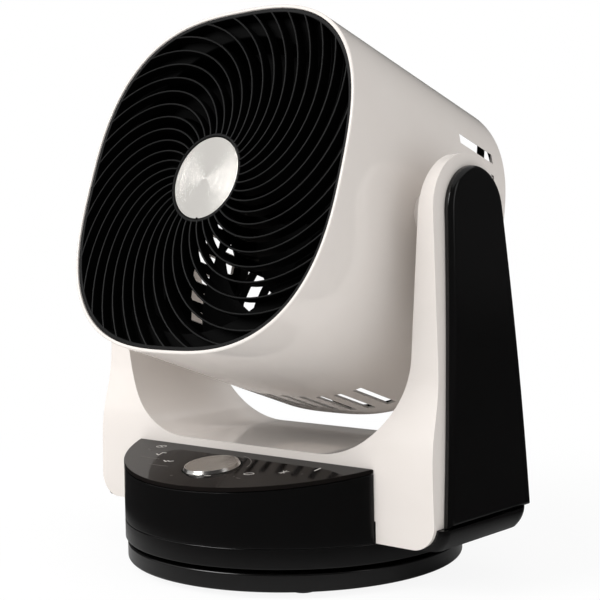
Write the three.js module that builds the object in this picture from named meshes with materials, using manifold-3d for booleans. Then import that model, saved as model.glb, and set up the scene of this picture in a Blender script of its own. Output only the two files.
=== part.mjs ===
// Air circulator fan: a soft-square head that tilts in a white U-shaped yoke, on a foot that it swivels on.
// Millimetres, +Z up, facing -Y. The origin is where the swivel axis meets the floor.

import * as THREE from 'three';
import { mergeVertices } from 'three/addons/utils/BufferGeometryUtils.js';
import Module from 'manifold-3d';

const wasm = await Module();
wasm.setup();

const degrees = THREE.MathUtils.degToRad;

// Clearances
const SEAT_GAP = 0.3; // between two pieces that touch
const SLIDE_GAP = 0.3; // round a shaft, knob or bush that turns
const SWIVEL_GAP = 3; // the dark line between foot and turntable
const WELD = 0.5; // how far joined solids reach into each other
const CUT_MARGIN = 20; // how far a cutting solid reaches past what it cuts

// Foot
const FOOT_RADIUS = 120;
const FOOT_HEIGHT = 12;
const FOOT_WALL = 3.5;
const FOOT_SKIRT = 4.5;
const FOOT_EDGE_RADIUS = 4;
const FOOT_TOP_CHAMFER = 1.2;
const FOOT_RIB_COUNT = 6;
const FOOT_RIB_THICKNESS = 2.4;
const FOOT_HUB_RADIUS = 34;
const PAD_COUNT = 4;
const PAD_RADIUS = 9;
const PAD_CIRCLE = 98;
const PAD_PROUD = 4; // how far the pads lift the foot
const PAD_RECESS = 1.5;
const PAD_BOSS_WALL = 3;

// Swivel
const POST_RADIUS = 12;
const POST_BORE_RADIUS = 6;
const POST_FLANGE_RADIUS = 28;
const POST_SCREW_CIRCLE = 21;
const POST_SCREW_COUNT = 3;
const POST_END = 4; // post above the retaining clip
const SWIVEL_BUSH_WALL = 3;
const CLIP_WIDTH = 4.5;
const CLIP_THICKNESS = 1.6;
const CLIP_GROOVE = 1.6;
const CLIP_MOUTH = degrees(70);
const SLIP_RING_RADIUS = 78;
const SLIP_RING_WIDTH = 8;

// Swing drive: a pinion on the turntable walks round a toothed sector on the post
const GEAR_MODULE = 1.5;
const SECTOR_TEETH = 40; // of a full turn
const SECTOR_TEETH_CUT = 13; // teeth that the sector really has
const PINION_TEETH = 12;
const GEAR_THICKNESS = 6;
const GEAR_BACKLASH = 0.5;
const SWING_MOTOR_RADIUS = 14;
const SWING_MOTOR_HEIGHT = 19;
const SWING_SHAFT_RADIUS = 2.5;
const SWING_SHAFT_OFFSET = 8;
const SWING_SHAFT_LENGTH = 8; // inside the motor
const SWING_EAR_SPACING = 35;
const SWING_EAR_THICKNESS = 1.2;

// Turntable and housing
const TRAY_RADIUS = 121.5;
const TRAY_HEIGHT = 13;
const TRAY_FLOOR = 3;
const TRAY_WALL = 4;
const TRAY_HUB_HEIGHT = 10.5;
const TRAY_HUB_WALL = 4;
const HOUSING_WALL = 2.6;
const BELT_HEIGHT = 13.7; // the black band under the white arms
const BELT_TUCK = 7; // how far the band draws in at its foot
const BELT_REAR_CORNER = 22;
const BELT_FRONT_CORNER = 7;
const PANEL_THICKNESS = 3;
const PANEL_FRONT_Z = 69.6; // top face at the front of the panel's arc
const PANEL_SLOPE = 0.1415;
const PANEL_CHAMFER = 0.7;
const REAR_TOP_Z = 76; // rear housing's roof, where it meets the yoke
const REAR_ROOF_SLOPE = 0.2;
const TRAY_SCREW_INSET = 5.9; // from the tray's outside to the middle of a screw
const SCREW_RADIUS = 1.6;
const SCREW_HEAD_RADIUS = 3.2;
const SCREW_HEAD_HEIGHT = 2;
const SCREW_BOSS_RADIUS = 4;
const SHORT_SCREW_LENGTH = 9;
const TRAY_SCREW_LENGTH = 20;
const HOUSING_WEB = 15.7; // wall left at each end of the housing's flat backs
const POWER_BOARD_SIZE = [72, 32];
const BOARD_HOLE_INSET = 4;
const TRANSFORMER_SIZE = [24, 22, 20];
const TRANSFORMER_PLACE = [-12, 1];
const CAPACITOR_RADIUS = 7;
const CAPACITOR_HEIGHT = 18;
const CAPACITOR_PLACE = [16, 4];
const TERMINAL_SIZE = [24, 5, 14];
const TERMINAL_PLACE = [18, -10.5];
const BOARD_THICKNESS = 1.6;
const BOARD_STANDOFF = 4;
const BOARD_STANDOFF_RADIUS = 3;
const GLAND_RADIUS = 6.5;
const GLAND_BORE_RADIUS = 4;
const GLAND_FLANGE = 2.5; // how far the flange reaches past the bore in the wall
const GLAND_FLANGE_THICKNESS = 1.2;
const GLAND_Z = 50;

// Knob and rotary encoder
const KNOB_RADIUS = 19.7;
const KNOB_Y = -82;
const KNOB_PROUD = 2.4;
const KNOB_DEPTH = 2.3;
const KNOB_CHAMFER = 0.7;
const KNOB_RING_GAP = 0.9;
const KNOB_TRAVEL = 0.5;
const KNOB_FACE = 1.1; // over the shaft's end
const KNOB_RECESS_ROOF = 2.2; // over the bush's recess
const KNOB_TAPER = 0.4;
const KNOB_DIMPLE_RADIUS = 2.4;
const KNOB_DIMPLE_DEPTH = 0.6;
const KNOB_DIMPLE_OFFSET = 13.5;
const KNOB_DIMPLE_DIRECTION = degrees(12);
const ENCODER_SHAFT_RADIUS = 3;
const ENCODER_BUSH_RADIUS = 4.8;
const ENCODER_SIZE = 14;
const ENCODER_HEIGHT = 7.5;
const ENCODER_BUSH_WALL = 0.6;
const ENCODER_BUSH_REACH = 0.4; // into the knob
const PLUNGER_SINK = 3;

// Yoke
const YOKE_FRONT_Y = -47.4;
const YOKE_FOOT_REAR_Y = 60.5;
const YOKE_FOOT_HALF_WIDTH = 158;
const YOKE_TOP_HALF_WIDTH = 152.64; // at the top of the arms
const YOKE_WALL = 3;
const YOKE_TOE_THICKNESS = 3;
const YOKE_TOE_CORNER = 17;
const ARM_RADIUS = 37.5;
const ARM_REAR_LEAN = degrees(9);
const ARM_BEND_DROP = 107; // along the rear edge, from the round top to where it straightens
const ARM_FRONT_BEND_Z = 75; // the front face is upright below this
const ARM_FRONT_TOP_Z = 150; // and again above this
const ARM_GAP_HALF_WIDTH = 142; // inner face at the pivot
const ARM_INNER_DRAFT = degrees(4.25);
const ARM_SEAT_PROUD = 1; // pivot seat inside the arm's inner face
const SADDLE_Z = 84.9;
const SADDLE_CORNER_RADIUS = 72;

// Side covers
const COVER_PROUD = 6;
const COVER_RADIUS = 29.7;
const COVER_CENTRE_Y = 4;
const COVER_FOOT_FRONT_Y = -37.6;
const COVER_FOOT_REAR_Y = 56;
const COVER_EDGE_RADIUS = 4;
const COVER_WALL = 2.4;
const COVER_FRONT_BOW = 3.5;
const ARM_WINDOW_MARGIN = 5;

// Head
const PIVOT_Z = 241.5;
const HEAD_TILT = degrees(18.57);
const HEAD_DEPTH = 176;
const HEAD_HALF_FRONT = 121.4;
const HEAD_HALF_REAR = 123;
const HEAD_SQUARENESS = 2.74;
const SHELL_WALL = 3.2;
const SHELL_RABBET = 1; // how much thinner the wall is round each grille
const GRILLE_SINK = 1; // grille face behind the shell's front edge
const FRONT_SEAT_DEPTH = 13; // rabbet's step behind the shell's front edge
const REAR_SEAT_DEPTH = 10;
const SLOT_COUNT = 9;
const SLOT_PITCH = 16.35;
const SLOT_WIDTH = 7;
const SLOT_FROM = 119;
const SLOT_TO = 160;
const SLOT_CUT_DEPTH = 22; // from the outside, which also clears the wall near the corners

// Grilles
const FRONT_RIB_COUNT = 37;
const REAR_RIB_COUNT = 18;
const RIB_THICKNESS = 1.8;
const RIB_DEPTH = 8;
const RIB_SWEEP = degrees(56); // turn of a rib from the hub to the reference radius
const RIB_REFERENCE_RADIUS = 119;
const RIB_CURL = 1.25; // how the turn grows along the rib
const FRONT_RIB_STEPS = 5;
const REAR_RIB_STEPS = 3;
const GRILLE_RIM = 2.7;
const GRILLE_HUB_RADIUS = 31.6;
const GRILLE_HUB_PLATE = 4;
const REAR_HUB_RADIUS = 30;
const CAP_RADIUS = 27.9;
const CAP_SINK = 1.9;
const CAP_THICKNESS = 2.4;
const CAP_CHAMFER = 0.5;
const CAP_NOTCH_RADIUS = 1.3;

// Impeller, duct and fan motor
const DUCT_RADIUS = 105;
const DUCT_WALL = 2.2;
const DUCT_LENGTH = 64;
const BLADE_COUNT = 7;
const BLADE_TIP_RADIUS = 101.5;
const BLADE_THICKNESS = 2.4;
const BLADE_PHASE = degrees(0);
const BLADE_SWEEP = degrees(22);
const BLADE_ROOT_ANGLE = degrees(44);
const BLADE_TIP_ANGLE = degrees(40);
const BLADE_ROOT_HEIGHT = 32;
const BLADE_TIP_HEIGHT = 22;
const BLADE_CAMBER = 4;
const BLADE_EDGE_TAPER = 0.4; // edge thickness over middle thickness
const HUB_RADIUS = 25;
const HUB_LENGTH = 36;
const HUB_WALL = 3;
const HUB_FRONT_DEPTH = 22; // behind the shell's front edge
const HUB_DOME = 5;
const HUB_NOSE_RADIUS = 15;
const SHAFT_RADIUS = 4;
const NUT_RADIUS = 9;
const NUT_LENGTH = 6;
const NUT_CHAMFER = 2;
const MOTOR_RADIUS = 38;
const MOTOR_LENGTH = 46;
const MOTOR_CHAMFER = 4;
const MOTOR_FLANGE = 8;
const MOTOR_FLANGE_THICKNESS = 3;
const BEARING_RADIUS = 9;
const BEARING_WIDTH = 5;
const BRACKET_ARMS = 3;
const BRACKET_ARM_WIDTH = 8;
const BRACKET_THICKNESS = 8;
const BRACKET_RING_WIDTH = 8;
const BRACKET_FOOT = 6; // how far a foot reaches in from the duct's outside

// Tilt pivots
const AXLE_RADIUS = 6;
const AXLE_HEAD_RADIUS = 10;
const AXLE_HEAD_THICKNESS = 3;
const AXLE_END = 0.8; // past the nut
const BOSS_RADIUS = 24;
const BOSS_INNER_LIP = 2.5;
const BUSH_WALL = 2.6;
const BUSH_FLANGE_RADIUS = 12;
const BUSH_FLANGE_THICKNESS = 1.5;
const ARM_BOSS_RADIUS = 14;
const ARM_BOSS_LENGTH = 6;
const FRICTION_WASHER_RADIUS = 11.5;
const FRICTION_WASHER_THICKNESS = 1.5;
const PIVOT_NUT_RADIUS = 10;
const PIVOT_NUT_THICKNESS = 4;

// Facets round a full turn
const WIDE_SIDES = 36;
const HEAD_SIDES = 40;
const CORNER_CROWDING = 0.4; // how far the head's facets crowd into its corners
const CAP_SIDES = 32;
const MOTOR_SIDES = 16;
const MEDIUM_SIDES = 20;
const SMALL_SIDES = 10;
const SCREW_SIDES = 6;

// Heights and places worked out from the sizes above
const footTopZ = PAD_PROUD + FOOT_HEIGHT;
const trayBottomZ = footTopZ + SWIVEL_GAP;
const trayFloorZ = trayBottomZ + TRAY_FLOOR;
const trayTopZ = trayBottomZ + TRAY_HEIGHT;
const trayScrewCircle = TRAY_RADIUS - TRAY_SCREW_INSET;
const housingBottomZ = trayTopZ + SEAT_GAP;
const beltTopZ = housingBottomZ + BELT_HEIGHT;
const yokeBottomZ = beltTopZ + SEAT_GAP;
const hubTopZ = trayBottomZ + TRAY_HUB_HEIGHT;
const gearBottomZ = hubTopZ + SEAT_GAP;
const gearTopZ = gearBottomZ + GEAR_THICKNESS;
const swingMotorZ = gearTopZ + 3 * SEAT_GAP;
const sectorPitchRadius = (GEAR_MODULE * SECTOR_TEETH) / 2;
const pinionPitchRadius = (GEAR_MODULE * PINION_TEETH) / 2;
const pinionX = sectorPitchRadius + pinionPitchRadius;
const swingMotorX = pinionX + SWING_SHAFT_OFFSET;
const flangeTopZ = footTopZ + SEAT_GAP + SWIVEL_GAP - 2 * SEAT_GAP;
const housingFrontBackY = YOKE_FRONT_Y - SEAT_GAP; // flat back of the front half
const beltFrontY = YOKE_FRONT_Y + YOKE_TOE_THICKNESS + SEAT_GAP;
const beltHalfWidth = YOKE_FOOT_HALF_WIDTH + COVER_PROUD;
const rearHousingY = YOKE_FOOT_REAR_Y + SEAT_GAP;
const overRoofZ = 2 * Math.max(PANEL_FRONT_Z, REAR_TOP_Z); // higher than either roof
const frontY = -HEAD_DEPTH / 2; // the shell's front edge, in the head's own frame
const rearY = HEAD_DEPTH / 2;
const ribFrontY = frontY + GRILLE_SINK;
const hubPlateFrontY = frontY + CAP_SINK + CAP_THICKNESS + SEAT_GAP;
const ductFrontY = frontY + FRONT_SEAT_DEPTH - SEAT_GAP - DUCT_WALL;
const ductRearY = ductFrontY + DUCT_LENGTH;
const impellerFrontY = frontY + HUB_FRONT_DEPTH;
const impellerRearY = impellerFrontY + HUB_LENGTH;
const motorFrontY = ductRearY + SEAT_GAP + BRACKET_THICKNESS - MOTOR_LENGTH / 2;
const motorRearY = motorFrontY + MOTOR_LENGTH;
const bossInnerX = headHalfAt(0) - SHELL_WALL - BOSS_INNER_LIP;
const armSeatX = ARM_GAP_HALF_WIDTH - ARM_SEAT_PROUD;
const bushFlangeX = armSeatX - SEAT_GAP - BUSH_FLANGE_THICKNESS;
const bossOuterX = bushFlangeX - SEAT_GAP;
const armBossEndX = armSeatX + ARM_BOSS_LENGTH;
const washerX = armBossEndX + SEAT_GAP;
const pivotNutX = washerX + FRICTION_WASHER_THICKNESS + SEAT_GAP;

// ---------------------------------------------------------------- solids

function solid(geometry) {
  const bare = new THREE.BufferGeometry();
  bare.setAttribute('position', geometry.getAttribute('position').clone());
  bare.setIndex(geometry.index);
  const merged = mergeVertices(bare, 1e-4);
  const position = merged.getAttribute('position').array;
  const corners = [];
  for (let i = 0; i < merged.index.count; i += 3) {
    const [a, b, c] = merged.index.array.slice(i, i + 3);
    if (a !== b && b !== c && c !== a) corners.push(a, b, c);
  }
  if (signedVolume(position, corners) < 0) corners.reverse();
  return new wasm.Manifold(new wasm.Mesh({
    numProp: 3,
    vertProperties: new Float32Array(position),
    triVerts: new Uint32Array(corners),
  }));
}

function signedVolume(position, corners) {
  const [a, b, c] = [new THREE.Vector3(), new THREE.Vector3(), new THREE.Vector3()];
  let total = 0;
  for (let i = 0; i < corners.length; i += 3) {
    a.fromArray(position, 3 * corners[i]);
    b.fromArray(position, 3 * corners[i + 1]);
    c.fromArray(position, 3 * corners[i + 2]);
    total += a.dot(b.cross(c));
  }
  return total;
}

function geometryOf(body) {
  const mesh = body.getMesh();
  const geometry = new THREE.BufferGeometry();
  geometry.setAttribute('position', new THREE.BufferAttribute(new Float32Array(mesh.vertProperties), 3));
  geometry.setIndex(new THREE.BufferAttribute(new Uint32Array(mesh.triVerts), 1));
  const flat = geometry.toNonIndexed();
  flat.computeVertexNormals();
  return flat;
}

// A bore's corner radius, so that a round pin turns freely past its facets.
const boreFor = (pinRadius, sides) => (pinRadius + SLIDE_GAP) / Math.cos(Math.PI / sides);

const joined = (bodies) => bodies.reduce((sum, body) => sum.add(body));
const cutBy = (body, tools) => tools.reduce((rest, tool) => rest.subtract(tool), body);

// ---------------------------------------------------------------- shapes

// A profile of [radius, height] turned about Z.
function turnedUp(profile, sides) {
  const geometry = new THREE.LatheGeometry(profile.map(([r, h]) => new THREE.Vector2(r, h)), sides);
  return solid(geometry.rotateX(Math.PI / 2));
}

// A profile of [radius, depth] turned about Y, which is the fan's own axis in the head.
function turnedBack(profile, sides) {
  return solid(new THREE.LatheGeometry(profile.map(([r, y]) => new THREE.Vector2(r, y)), sides));
}

// A profile of [radius, x] turned about X, pushed out to one side.
function turnedSideways(profile, sides, side) {
  const geometry = new THREE.LatheGeometry(profile.map(([r, x]) => new THREE.Vector2(r, x)), sides);
  return solid(geometry.rotateZ(-side * Math.PI / 2));
}

// Radius of the soft square at an angle, for a half size of 1.
function softSquare(angle) {
  const sum = Math.abs(Math.cos(angle)) ** HEAD_SQUARENESS + Math.abs(Math.sin(angle)) ** HEAD_SQUARENESS;
  return sum ** (-1 / HEAD_SQUARENESS);
}

// A closed profile of [half size, depth] carried round the soft square. Points inside roundWithin stay
// on a true circle.
function softSquareTurn(profile, roundWithin = 0) {
  const geometry = new THREE.LatheGeometry(profile.map(([s, y]) => new THREE.Vector2(s, y)), HEAD_SIDES);
  const position = geometry.getAttribute('position');
  for (let i = 0; i < position.count; i++) {
    const [x, z] = [position.getX(i), position.getZ(i)];
    const turn = Math.atan2(z, x);
    const angle = turn + (CORNER_CROWDING * Math.sin(4 * turn)) / 4;
    const size = Math.hypot(x, z);
    const radius = size > roundWithin + 0.01 ? size * softSquare(angle) : size;
    position.setX(i, radius * Math.cos(angle));
    position.setZ(i, radius * Math.sin(angle));
  }
  return solid(geometry);
}

function headHalfAt(y) {
  return HEAD_HALF_FRONT + ((HEAD_HALF_REAR - HEAD_HALF_FRONT) * (y + HEAD_DEPTH / 2)) / HEAD_DEPTH;
}

// Outlines drawn in (x, y), (x, z) or (y, z), pulled out along the third axis.
function pulledUp(shape, z0, z1, curveSegments = 8) {
  const geometry = new THREE.ExtrudeGeometry(shape, { depth: z1 - z0, bevelEnabled: false, curveSegments });
  return solid(geometry.translate(0, 0, z0));
}

function pulledBack(shape, y0, y1, curveSegments = 8) {
  const geometry = new THREE.ExtrudeGeometry(shape, { depth: y1 - y0, bevelEnabled: false, curveSegments });
  return solid(geometry.rotateX(Math.PI / 2).translate(0, y1, 0));
}

const sidewaysAxes = new THREE.Matrix4().makeBasis(
  new THREE.Vector3(0, 1, 0), new THREE.Vector3(0, 0, 1), new THREE.Vector3(1, 0, 0));

function pulledSideways(shape, x0, x1, curveSegments = 8) {
  const geometry = new THREE.ExtrudeGeometry(shape, { depth: x1 - x0, bevelEnabled: false, curveSegments });
  return solid(geometry.applyMatrix4(sidewaysAxes).translate(x0, 0, 0));
}

function block(x0, x1, y0, y1, z0, z1) {
  const geometry = new THREE.BoxGeometry(x1 - x0, y1 - y0, z1 - z0);
  return solid(geometry.translate((x0 + x1) / 2, (y0 + y1) / 2, (z0 + z1) / 2));
}

const cylinderUp = (radius, z0, z1, sides = SMALL_SIDES) =>
  turnedUp([[0, z0], [radius, z0], [radius, z1], [0, z1]], sides);
const cylinderBack = (radius, y0, y1, sides = SMALL_SIDES) =>
  turnedBack([[0, y0], [radius, y0], [radius, y1], [0, y1]], sides);
const ringUp = (inner, outer, z0, z1, sides = SMALL_SIDES) =>
  turnedUp([[inner, z0], [outer, z0], [outer, z1], [inner, z1], [inner, z0]], sides);
const ringBack = (inner, outer, y0, y1, sides = SMALL_SIDES) =>
  turnedBack([[inner, y0], [outer, y0], [outer, y1], [inner, y1], [inner, y0]], sides);

function polar(radius, angle) {
  return [radius * Math.cos(angle), radius * Math.sin(angle)];
}

function aroundZ(count, body, firstAngle = 0) {
  return Array.from({ length: count }, (_, k) =>
    body.rotate([0, 0, THREE.MathUtils.radToDeg(firstAngle) + (360 * k) / count]));
}

function aroundY(count, body, firstAngle = 0) {
  return Array.from({ length: count }, (_, k) =>
    body.rotate([0, -THREE.MathUtils.radToDeg(firstAngle) - (360 * k) / count, 0]));
}

// A screw with its head at the bottom, reaching up from z.
function screwUp(z, length) {
  const shoulderZ = z + SCREW_HEAD_HEIGHT;
  return turnedUp([[0, z], [SCREW_HEAD_RADIUS, z], [SCREW_HEAD_RADIUS, shoulderZ],
    [SCREW_RADIUS, shoulderZ], [SCREW_RADIUS, z + length], [0, z + length]], SCREW_SIDES);
}

// ---------------------------------------------------------------- foot

function footDisc() {
  const skirtInner = FOOT_RADIUS - FOOT_SKIRT;
  const deckZ = footTopZ - FOOT_WALL;
  const ribZ = PAD_PROUD + PAD_RECESS;
  const shell = turnedUp([
    [0, ribZ], [FOOT_HUB_RADIUS, ribZ], [FOOT_HUB_RADIUS, deckZ], [skirtInner, deckZ],
    [skirtInner, PAD_PROUD], [FOOT_RADIUS - FOOT_EDGE_RADIUS, PAD_PROUD],
    [FOOT_RADIUS, PAD_PROUD + FOOT_EDGE_RADIUS], [FOOT_RADIUS, footTopZ - FOOT_TOP_CHAMFER],
    [FOOT_RADIUS - FOOT_TOP_CHAMFER, footTopZ], [0, footTopZ],
  ], WIDE_SIDES);
  const rib = block(FOOT_HUB_RADIUS - 1, skirtInner + 1, -FOOT_RIB_THICKNESS / 2, FOOT_RIB_THICKNESS / 2,
    ribZ, deckZ + 1);
  const padBoss = cylinderUp(PAD_RADIUS + PAD_BOSS_WALL, PAD_PROUD, deckZ + 1, 8)
    .translate([PAD_CIRCLE, 0, 0]);
  const padSeat = cylinderUp(PAD_RADIUS + SEAT_GAP, PAD_PROUD - 1, PAD_PROUD + PAD_RECESS)
    .translate([PAD_CIRCLE, 0, 0]);
  const screwHole = cylinderUp(SCREW_RADIUS + SEAT_GAP, PAD_PROUD, footTopZ + 1, SCREW_SIDES)
    .translate([POST_SCREW_CIRCLE, 0, 0]);
  const headHole = cylinderUp(SCREW_HEAD_RADIUS + SEAT_GAP, PAD_PROUD, postScrewHeadZ + SCREW_HEAD_HEIGHT,
    SCREW_SIDES)
    .translate([POST_SCREW_CIRCLE, 0, 0]);
  const body = joined([
    shell,
    ...aroundZ(FOOT_RIB_COUNT, rib),
    ...aroundZ(PAD_COUNT, padBoss, Math.PI / PAD_COUNT),
  ]);
  return cutBy(body, [
    ...aroundZ(PAD_COUNT, padSeat, Math.PI / PAD_COUNT),
    ...aroundZ(POST_SCREW_COUNT, screwHole),
    ...aroundZ(POST_SCREW_COUNT, headHole),
  ]);
}

const postScrewHeadZ = PAD_PROUD + PAD_RECESS + 1;

function footPad(k) {
  const topZ = PAD_PROUD + PAD_RECESS - SEAT_GAP;
  const pad = turnedUp([[0, 0], [PAD_RADIUS - 1, 0], [PAD_RADIUS, 1], [PAD_RADIUS, topZ], [0, topZ]],
    SMALL_SIDES);
  return pad.translate([PAD_CIRCLE, 0, 0]).rotate([0, 0, (360 * (k + 0.5)) / PAD_COUNT]);
}

// ---------------------------------------------------------------- swivel

const clipBottomZ = gearTopZ + SEAT_GAP;
const clipTopZ = clipBottomZ + CLIP_THICKNESS;
const postTopZ = clipTopZ + POST_END;

function swivelPost() {
  const grooveRadius = POST_RADIUS - CLIP_GROOVE;
  const post = turnedUp([
    [POST_BORE_RADIUS, footTopZ + SEAT_GAP], [POST_FLANGE_RADIUS, footTopZ + SEAT_GAP],
    [POST_FLANGE_RADIUS, flangeTopZ], [POST_RADIUS, flangeTopZ],
    [POST_RADIUS, clipBottomZ - SEAT_GAP / 2], [grooveRadius, clipBottomZ - SEAT_GAP / 2],
    [grooveRadius, clipTopZ + SEAT_GAP / 2], [POST_RADIUS, clipTopZ + SEAT_GAP / 2],
    [POST_RADIUS, postTopZ], [POST_BORE_RADIUS, postTopZ], [POST_BORE_RADIUS, footTopZ + SEAT_GAP],
  ], MEDIUM_SIDES);
  const hole = cylinderUp(SCREW_RADIUS + SEAT_GAP, footTopZ, flangeTopZ + 1, SCREW_SIDES)
    .translate([POST_SCREW_CIRCLE, 0, 0]);
  return cutBy(post, aroundZ(POST_SCREW_COUNT, hole));
}

function postScrew(k) {
  return screwUp(postScrewHeadZ - SEAT_GAP, flangeTopZ - postScrewHeadZ)
    .translate([POST_SCREW_CIRCLE, 0, 0])
    .rotate([0, 0, (360 * k) / POST_SCREW_COUNT]);
}

function swivelClip() {
  const inner = POST_RADIUS - CLIP_GROOVE + SEAT_GAP;
  const shape = new THREE.Shape();
  shape.absarc(0, 0, inner + CLIP_WIDTH, CLIP_MOUTH / 2, 2 * Math.PI - CLIP_MOUTH / 2, false);
  shape.absarc(0, 0, inner, 2 * Math.PI - CLIP_MOUTH / 2, CLIP_MOUTH / 2, true);
  return pulledUp(shape, clipBottomZ, clipTopZ, 7);
}

const slipRing = () => ringUp(SLIP_RING_RADIUS - SLIP_RING_WIDTH, SLIP_RING_RADIUS,
  footTopZ + SEAT_GAP, trayBottomZ - SEAT_GAP, MEDIUM_SIDES);

const bushInner = boreFor(POST_RADIUS, MEDIUM_SIDES);
const bushOuter = bushInner + SWIVEL_BUSH_WALL;

const swivelBush = () => ringUp(bushInner, bushOuter, trayBottomZ, hubTopZ - SEAT_GAP, MEDIUM_SIDES);

// Straight-sided teeth on a pitch circle; skipped teeth leave a plain rim at the root radius.
function gearOutline(teeth, cutTeeth) {
  const pitch = (GEAR_MODULE * teeth) / 2;
  const root = pitch - 1.25 * GEAR_MODULE;
  const tip = pitch + GEAR_MODULE - 0.2;
  const halfPitchAngle = (Math.PI / 2 - GEAR_BACKLASH / GEAR_MODULE) / teeth;
  const flank = Math.tan(degrees(20));
  const halfTip = halfPitchAngle - (flank * (tip - pitch)) / pitch;
  const halfRoot = halfPitchAngle + (flank * (pitch - root)) / pitch;
  const points = [];
  for (let k = 0; k < teeth; k++) {
    const nearest = k <= teeth / 2 ? k : teeth - k;
    const middle = (2 * Math.PI * k) / teeth;
    if (nearest <= (cutTeeth - 1) / 2) {
      for (const [radius, side] of [[root, -halfRoot], [tip, -halfTip], [tip, halfTip], [root, halfRoot]]) {
        points.push(new THREE.Vector2(...polar(radius, middle + side)));
      }
    } else if (k % 2 === 0) {
      points.push(new THREE.Vector2(...polar(root, middle)));
    }
  }
  return new THREE.Shape(points);
}

function swivelSector() {
  const bore = new THREE.Path();
  bore.absarc(0, 0, POST_RADIUS + SEAT_GAP, 0, 2 * Math.PI, true);
  const outline = gearOutline(SECTOR_TEETH, SECTOR_TEETH_CUT);
  outline.holes.push(bore);
  return pulledUp(outline, gearBottomZ, gearTopZ, 8);
}

function swingPinion() {
  const meshAngle = Math.PI / PINION_TEETH + Math.PI; // a gap faces the sector's middle tooth
  const teeth = pulledUp(gearOutline(PINION_TEETH, PINION_TEETH), gearBottomZ, gearTopZ)
    .rotate([0, 0, THREE.MathUtils.radToDeg(meshAngle)]);
  const shaft = cylinderUp(SWING_SHAFT_RADIUS, gearTopZ - 1, swingMotorZ + SWING_SHAFT_LENGTH);
  return joined([teeth, shaft]);
}

function swingMotor() {
  const ear = new THREE.Shape();
  const reach = SWING_EAR_SPACING / 2;
  ear.absarc(0, reach, SCREW_BOSS_RADIUS, 0, Math.PI, false);
  ear.absarc(0, -reach, SCREW_BOSS_RADIUS, Math.PI, 2 * Math.PI, false);
  const body = joined([
    cylinderUp(SWING_MOTOR_RADIUS, swingMotorZ, swingMotorZ + SWING_MOTOR_HEIGHT, MEDIUM_SIDES),
    pulledUp(ear, swingMotorZ, swingMotorZ + SWING_EAR_THICKNESS, 3),
  ]);
  const hole = cylinderUp(SCREW_RADIUS + SEAT_GAP, swingMotorZ - 1, swingMotorZ + 3, SCREW_SIDES);
  const shaftHole = cylinderUp(SWING_SHAFT_RADIUS + SLIDE_GAP, swingMotorZ - 1,
    swingMotorZ + SWING_SHAFT_LENGTH + 1);
  return cutBy(body, [
    hole.translate([0, reach, 0]),
    hole.translate([0, -reach, 0]),
    shaftHole.translate([-SWING_SHAFT_OFFSET, 0, 0]),
  ]).translate([swingMotorX, 0, 0]);
}

function swingMotorScrew(side) {
  const top = swingMotorZ + SWING_EAR_THICKNESS + SEAT_GAP + SCREW_HEAD_HEIGHT;
  return screwUp(0, SHORT_SCREW_LENGTH).rotate([180, 0, 0])
    .translate([swingMotorX, (side * SWING_EAR_SPACING) / 2, top]);
}

// ---------------------------------------------------------------- turntable and housing

const trayScrewAngles = [-125, -55, 50, 130].map(degrees);

function turntableTray() {
  const hubOuter = bushOuter + SEAT_GAP + TRAY_HUB_WALL;
  const shell = turnedUp([
    [bushOuter + SEAT_GAP, trayBottomZ], [TRAY_RADIUS, trayBottomZ], [TRAY_RADIUS, trayTopZ],
    [TRAY_RADIUS - TRAY_WALL, trayTopZ], [TRAY_RADIUS - TRAY_WALL, trayFloorZ],
    [hubOuter, trayFloorZ], [hubOuter, hubTopZ], [bushOuter + SEAT_GAP, hubTopZ],
    [bushOuter + SEAT_GAP, trayBottomZ],
  ], WIDE_SIDES);
  const motorBoss = cylinderUp(SCREW_BOSS_RADIUS, trayFloorZ - 1, swingMotorZ - SEAT_GAP, 8);
  const motorHole = cylinderUp(SCREW_RADIUS + SEAT_GAP, swingMotorZ - 8, swingMotorZ, SCREW_SIDES);
  const earPlaces = [1, -1].map((s) => [swingMotorX, (s * SWING_EAR_SPACING) / 2, 0]);
  const standoff = cylinderUp(BOARD_STANDOFF_RADIUS, trayFloorZ - 1, trayFloorZ + BOARD_STANDOFF, 6);
  const standoffs = powerBoardCorners().map(([x, y]) => standoff.translate([x, y, 0]));
  const screwBoss = cylinderUp(SCREW_BOSS_RADIUS, trayFloorZ - 1, trayTopZ, 8);
  const screwHole = cylinderUp(SCREW_RADIUS + SEAT_GAP, trayBottomZ - 1, trayTopZ + 1, SCREW_SIDES);
  const headHole = cylinderUp(SCREW_HEAD_RADIUS + SEAT_GAP, trayBottomZ - 1, trayScrewHeadZ, SCREW_SIDES);
  const screwPlaces = trayScrewAngles.map((angle) => [...polar(trayScrewCircle, angle), 0]);
  const body = joined([shell, ...earPlaces.map((place) => motorBoss.translate(place)), ...standoffs,
    ...screwPlaces.map((place) => screwBoss.translate(place))]);
  return cutBy(body, [
    ...earPlaces.map((place) => motorHole.translate(place)),
    ...screwPlaces.map((place) => screwHole.translate(place)),
    ...screwPlaces.map((place) => headHole.translate(place)),
  ]);
}

const trayScrewHeadZ = trayBottomZ + SCREW_HEAD_HEIGHT + 2 * SEAT_GAP;

function trayScrew(angle) {
  return screwUp(trayScrewHeadZ - SEAT_GAP - SCREW_HEAD_HEIGHT, TRAY_SCREW_LENGTH)
    .translate([...polar(trayScrewCircle, angle), 0]);
}

const panelTopZ = (y) => PANEL_FRONT_Z + PANEL_SLOPE * (y + FOOT_RADIUS);
const rearRoofZ = (y) => REAR_TOP_Z - REAR_ROOF_SLOPE * (y - rearHousingY);

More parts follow.
